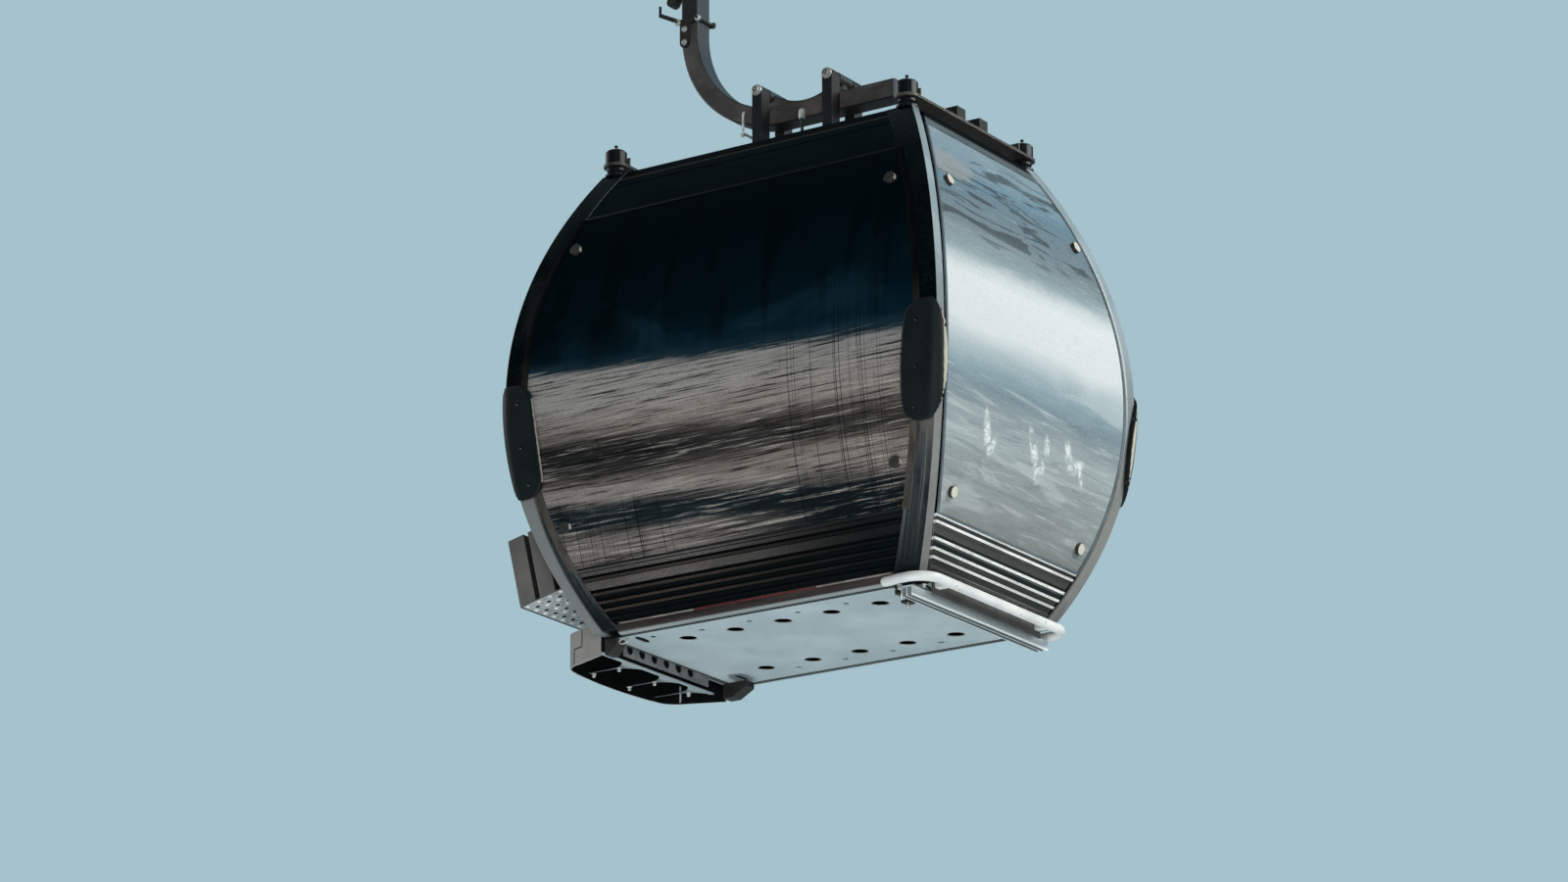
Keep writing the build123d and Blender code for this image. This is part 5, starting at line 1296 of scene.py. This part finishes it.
# Bolts, clamp blocks and an eye round the corners under the floor
cornerLook = {
    "blocks": (((0.770, -0.560, -0.034), (0.800, -0.520, -0.022)),
               ((0.752, -0.524, -0.052), (0.794, -0.478, -0.028)),
               ((0.744, -0.482, -0.040), (0.776, -0.420, -0.022)),
               ((0.722, -0.424, -0.066), (0.768, -0.368, -0.028))),
    # x, y and length: near corner, far corners, door-side corner
    "bolts": ((0.806, -0.566, 0.020), (0.776, -0.500, 0.044), (0.754, -0.448, 0.030), (0.745, -0.396, 0.056),
              (0.903, 0.461, 0.028), (0.897, 0.545, 0.028), (0.903, -0.506, 0.014), (0.930, -0.471, 0.014),
              (-0.884, 0.508, 0.018), (-0.881, 0.547, 0.018), (-0.819, 0.529, 0.018)),
    "bolt": 0.0085, "washer": 1.5, "eye": (0.026, 0.008, 0.008), "eyePlace": (-0.785, -0.557, -0.050),
    "eyeWay": (0, -1, 0.4), "eyeNarrow": 0.62, "sunk": 0.0005,
}
lift = Vector((0, 0, floorZ))
clamp = [makePlate(Vector(low) + lift, Vector(high) + lift, 0.002) for low, high in cornerLook["blocks"]]
finishPiece(clamp, "cornerClamp", "blackSteel", 40)
hanging = [copyTo(makeBolt(cornerLook["bolt"], long, cornerLook["washer"]), [
    ((x, y, sheetZ - cornerLook["sunk"]), downward)]) for x, y, long in cornerLook["bolts"]]
finishPiece(hanging, "cornerBolts", "brightSteel")
ring = makeRing(*cornerLook["eye"])
ring.data.transform(Matrix.Diagonal((1, cornerLook["eyeNarrow"], 1, 1)))
eye = copyTo(ring, [(Vector(cornerLook["eyePlace"]) + lift, cornerLook["eyeWay"])])
finishPiece(eye, "cornerEye", "brightSteel", 60)
print("corner fittings")

# Door seals and gaskets
sealLook = {
    "low": 0.062, "high": 2.236, "rows": 30, "thick": 0.009, "centre": (0.012, 0.003),
    "leafEnd": (0.5283, 0.006, 0.002),
    "glass": (0.058, 0.4733), "half": 0.0045, "relief": (0.0005, 0.0075), "sill": 0.300, "head": 2.185,
    "line": 0.009, "rise": 0.004,
}


def leafSeal(middle, half, proud):
    return wallStrip("door", sealLook["low"], sealLook["high"], middle - half, middle + half, proud,
                     sealLook["thick"], sealLook["rows"])


seals = [leafSeal(0, *sealLook["centre"])]
leafEnd, *strip = sealLook["leafEnd"]
for side in bothSides:
    seals.append(leafSeal(side * leafEnd, *strip))
    for place in sealLook["glass"]:
        middle = side * place
        seals.append(wallStrip("door", sealLook["sill"], sealLook["head"],
                               middle - sealLook["half"], middle + sealLook["half"], *sealLook["relief"]))
    near, away = sorted(side * place for place in sealLook["glass"])
    for height in (sealLook["sill"] + sealLook["rise"], sealLook["head"] + sealLook["rise"]):
        seals.append(wallStrip("door", height - sealLook["line"], height, near, away, *sealLook["relief"], 1))
finishPiece(seals, "doorSeals", "gasket", 40)
print("door seals")

# Bench cushions: five crowned seats and five backs on each bench, each with piping and sewn channels
benchLook = {
    "seats": 5, "low": 0.398, "thick": 0.066, "deep": 0.436, "gap": 0.003, "behind": 0.060, "inset": 0.125,
    "crown": 0.012,
    "pull": 0.006, "bulge": 0.004, "channels": (-0.36, 0.36), "channel": 0.0045, "channelWide": 0.10,
    "piping": 0.0065,
    "backLow": 0.506, "backHigh": 1.034, "backThick": 0.018, "backFace": 0.099, "seatHeight": 0.400,
    "forward": 0.215,
}


def padShape(u, w, t, wide, deep, thick):
    # a point of a crowned pad: sides pull in between the corners, sewn channels run across
    x = u * (wide / 2 - benchLook["pull"] * (1 - w * w) + benchLook["bulge"] * (1 - t * t))
    y = w * (deep / 2 - benchLook["pull"] * (1 - u * u) + benchLook["bulge"] * (1 - t * t))
    rise = 0
    if t > 0:
        rise = benchLook["crown"] * (1 - u * u) * (1 - w * w) ** 0.6
        for place in benchLook["channels"]:
            dip = math.exp(-((w - place) / benchLook["channelWide"]) ** 2)
            rise -= benchLook["channel"] * dip * (1 - u ** 6)
    return Vector((x, y, t * thick / 2 + rise * max(t, 0)))


def makePad(wide, deep, thick):
    bpy.ops.mesh.primitive_cube_add(size=2, location=(0, 0, 0))
    pad = bpy.context.object
    openEdit(pad, True)
    bpy.ops.mesh.subdivide(number_cuts=12)
    closeEdit()
    for vertex in pad.data.vertices:
        vertex.co = padShape(*vertex.co, wide, deep, thick)
    addModifier(pad, "SUBSURF", levels=1, render_levels=1)
    bpy.ops.mesh.primitive_torus_add(major_radius=1, minor_radius=0.1, major_segments=56, minor_segments=6)
    piping = bpy.context.object
    for vertex in piping.data.vertices:
        out = math.hypot(vertex.co.x, vertex.co.y)
        u, w = vertex.co.x / out, vertex.co.y / out
        square = 0.975 / (u ** 8 + w ** 8) ** 0.125
        foot = padShape(u * square, w * square, 1, wide, deep, thick)
        spread = Vector((u * (out - 1), w * (out - 1), vertex.co.z)) / 0.1
        vertex.co = foot + spread * benchLook["piping"] / 2
    return pad, piping


for name, side in bothEnds:
    seatWall = wallOut(shell["halfLength"], benchLook["seatHeight"], benchLook["behind"])
    seatY = side * (seatWall - benchLook["forward"])
    reach = wallOut(shell["halfWidth"], benchLook["seatHeight"], benchLook["inset"])
    seatWide = 2 * reach / benchLook["seats"]
    tall = benchLook["backHigh"] - benchLook["backLow"]
    pads, pipings = [], []
    for number in range(benchLook["seats"]):
        seatZ = floorZ + benchLook["low"] + benchLook["thick"] / 2
        place = (-reach + seatWide * (number + 0.5), seatY, seatZ)
        seat = makePad(seatWide - 2 * benchLook["gap"], benchLook["deep"], benchLook["thick"])
        for made, kept in zip(seat, (pads, pipings)):
            made.data.transform(Matrix.Translation(place))
            kept.append(made)
        for made, kept in zip(makePad(1.0, tall, benchLook["backThick"]), (pads, pipings)):
            for vertex in made.data.vertices:
                height = (benchLook["backHigh"] + benchLook["backLow"]) / 2 + vertex.co.y
                half = wallOut(shell["halfWidth"], height, benchLook["inset"]) / benchLook["seats"]
                along = half * (2 * number + 1 - benchLook["seats"])
                along += (half - benchLook["gap"]) * 2 * vertex.co.x
                proud = -benchLook["backFace"] - benchLook["backThick"] / 2 - vertex.co.z
                vertex.co = wallPoint(name, along, height, proud)
            kept.append(made)
    for kept, kind, finish in ((pads, "Cushions", "benchCover"), (pipings, "Piping", "benchPiping")):
        whole = joinPieces(kept)
        openEdit(whole)
        turnOutwards()
        closeEdit()
        finishPiece(whole, name + kind, finish, 60)
print("bench cushions")

# Grip: nuts, hub rings and end caps
gripLook = {
    "pivot": (0.078, 0.096), "wheelY": 0.205, "wheelFace": 0.172, "wheelNut": (0.0185, 0.0115, 1.3),
    "hubRings": (0.034, 0.066), "hubRing": (0.006, 0.005), "capY": 0.295, "cap": (0.030, 0.012, 1.4),
    "plate": (-0.045, 0.012, 0.09, 0.196), "plateBolt": (0.009, 0.005, 1.4),
    "rollerFace": 0.376, "leverZ": 0.112, "rollerNut": (0.0165, 0.0105, 1.3), "nutProud": 0.0006,
}
pivotX, pivotZ = gripLook["pivot"]
nutX = gripLook["wheelFace"] + gripLook["nutProud"]
plateX, boltX, boltY, plateZ = gripLook["plate"]
wheelNuts = copyTo(makeBolt(*gripLook["wheelNut"]),
                   [((nutX, side * gripLook["wheelY"], pivotZ), (1, 0, 0)) for side in bothSides])
caps = copyTo(makeBolt(*gripLook["cap"]),
              [((pivotX, side * gripLook["capY"], pivotZ), (0, side, 0)) for side in bothSides])
plateBolts = copyTo(makeBolt(*gripLook["plateBolt"]), [
    ((plateX + x * boltX, y * boltY, plateZ), upward) for x in bothSides for y in bothSides])
finishPiece([wheelNuts, caps, plateBolts], "gripNuts", "brightSteel", body="grip")
rollerPlace = (gripLook["rollerFace"] + gripLook["nutProud"], 0, gripLook["leverZ"])
finishPiece(copyTo(makeBolt(*gripLook["rollerNut"]), [(rollerPlace, (1, 0, 0))]), "rollerNut", "brightSteel",
            body="jaw")
for name, side in bothEnds:
    hub = (gripLook["wheelFace"], side * gripLook["wheelY"], pivotZ)
    rings = [copyTo(makeRing(radius, *gripLook["hubRing"]), [(hub, (1, 0, 0))])
             for radius in gripLook["hubRings"]]
    finishPiece(rings, name + "HubRings", "jawSteel", 60, "wheel_" + name)
print("grip fittings")
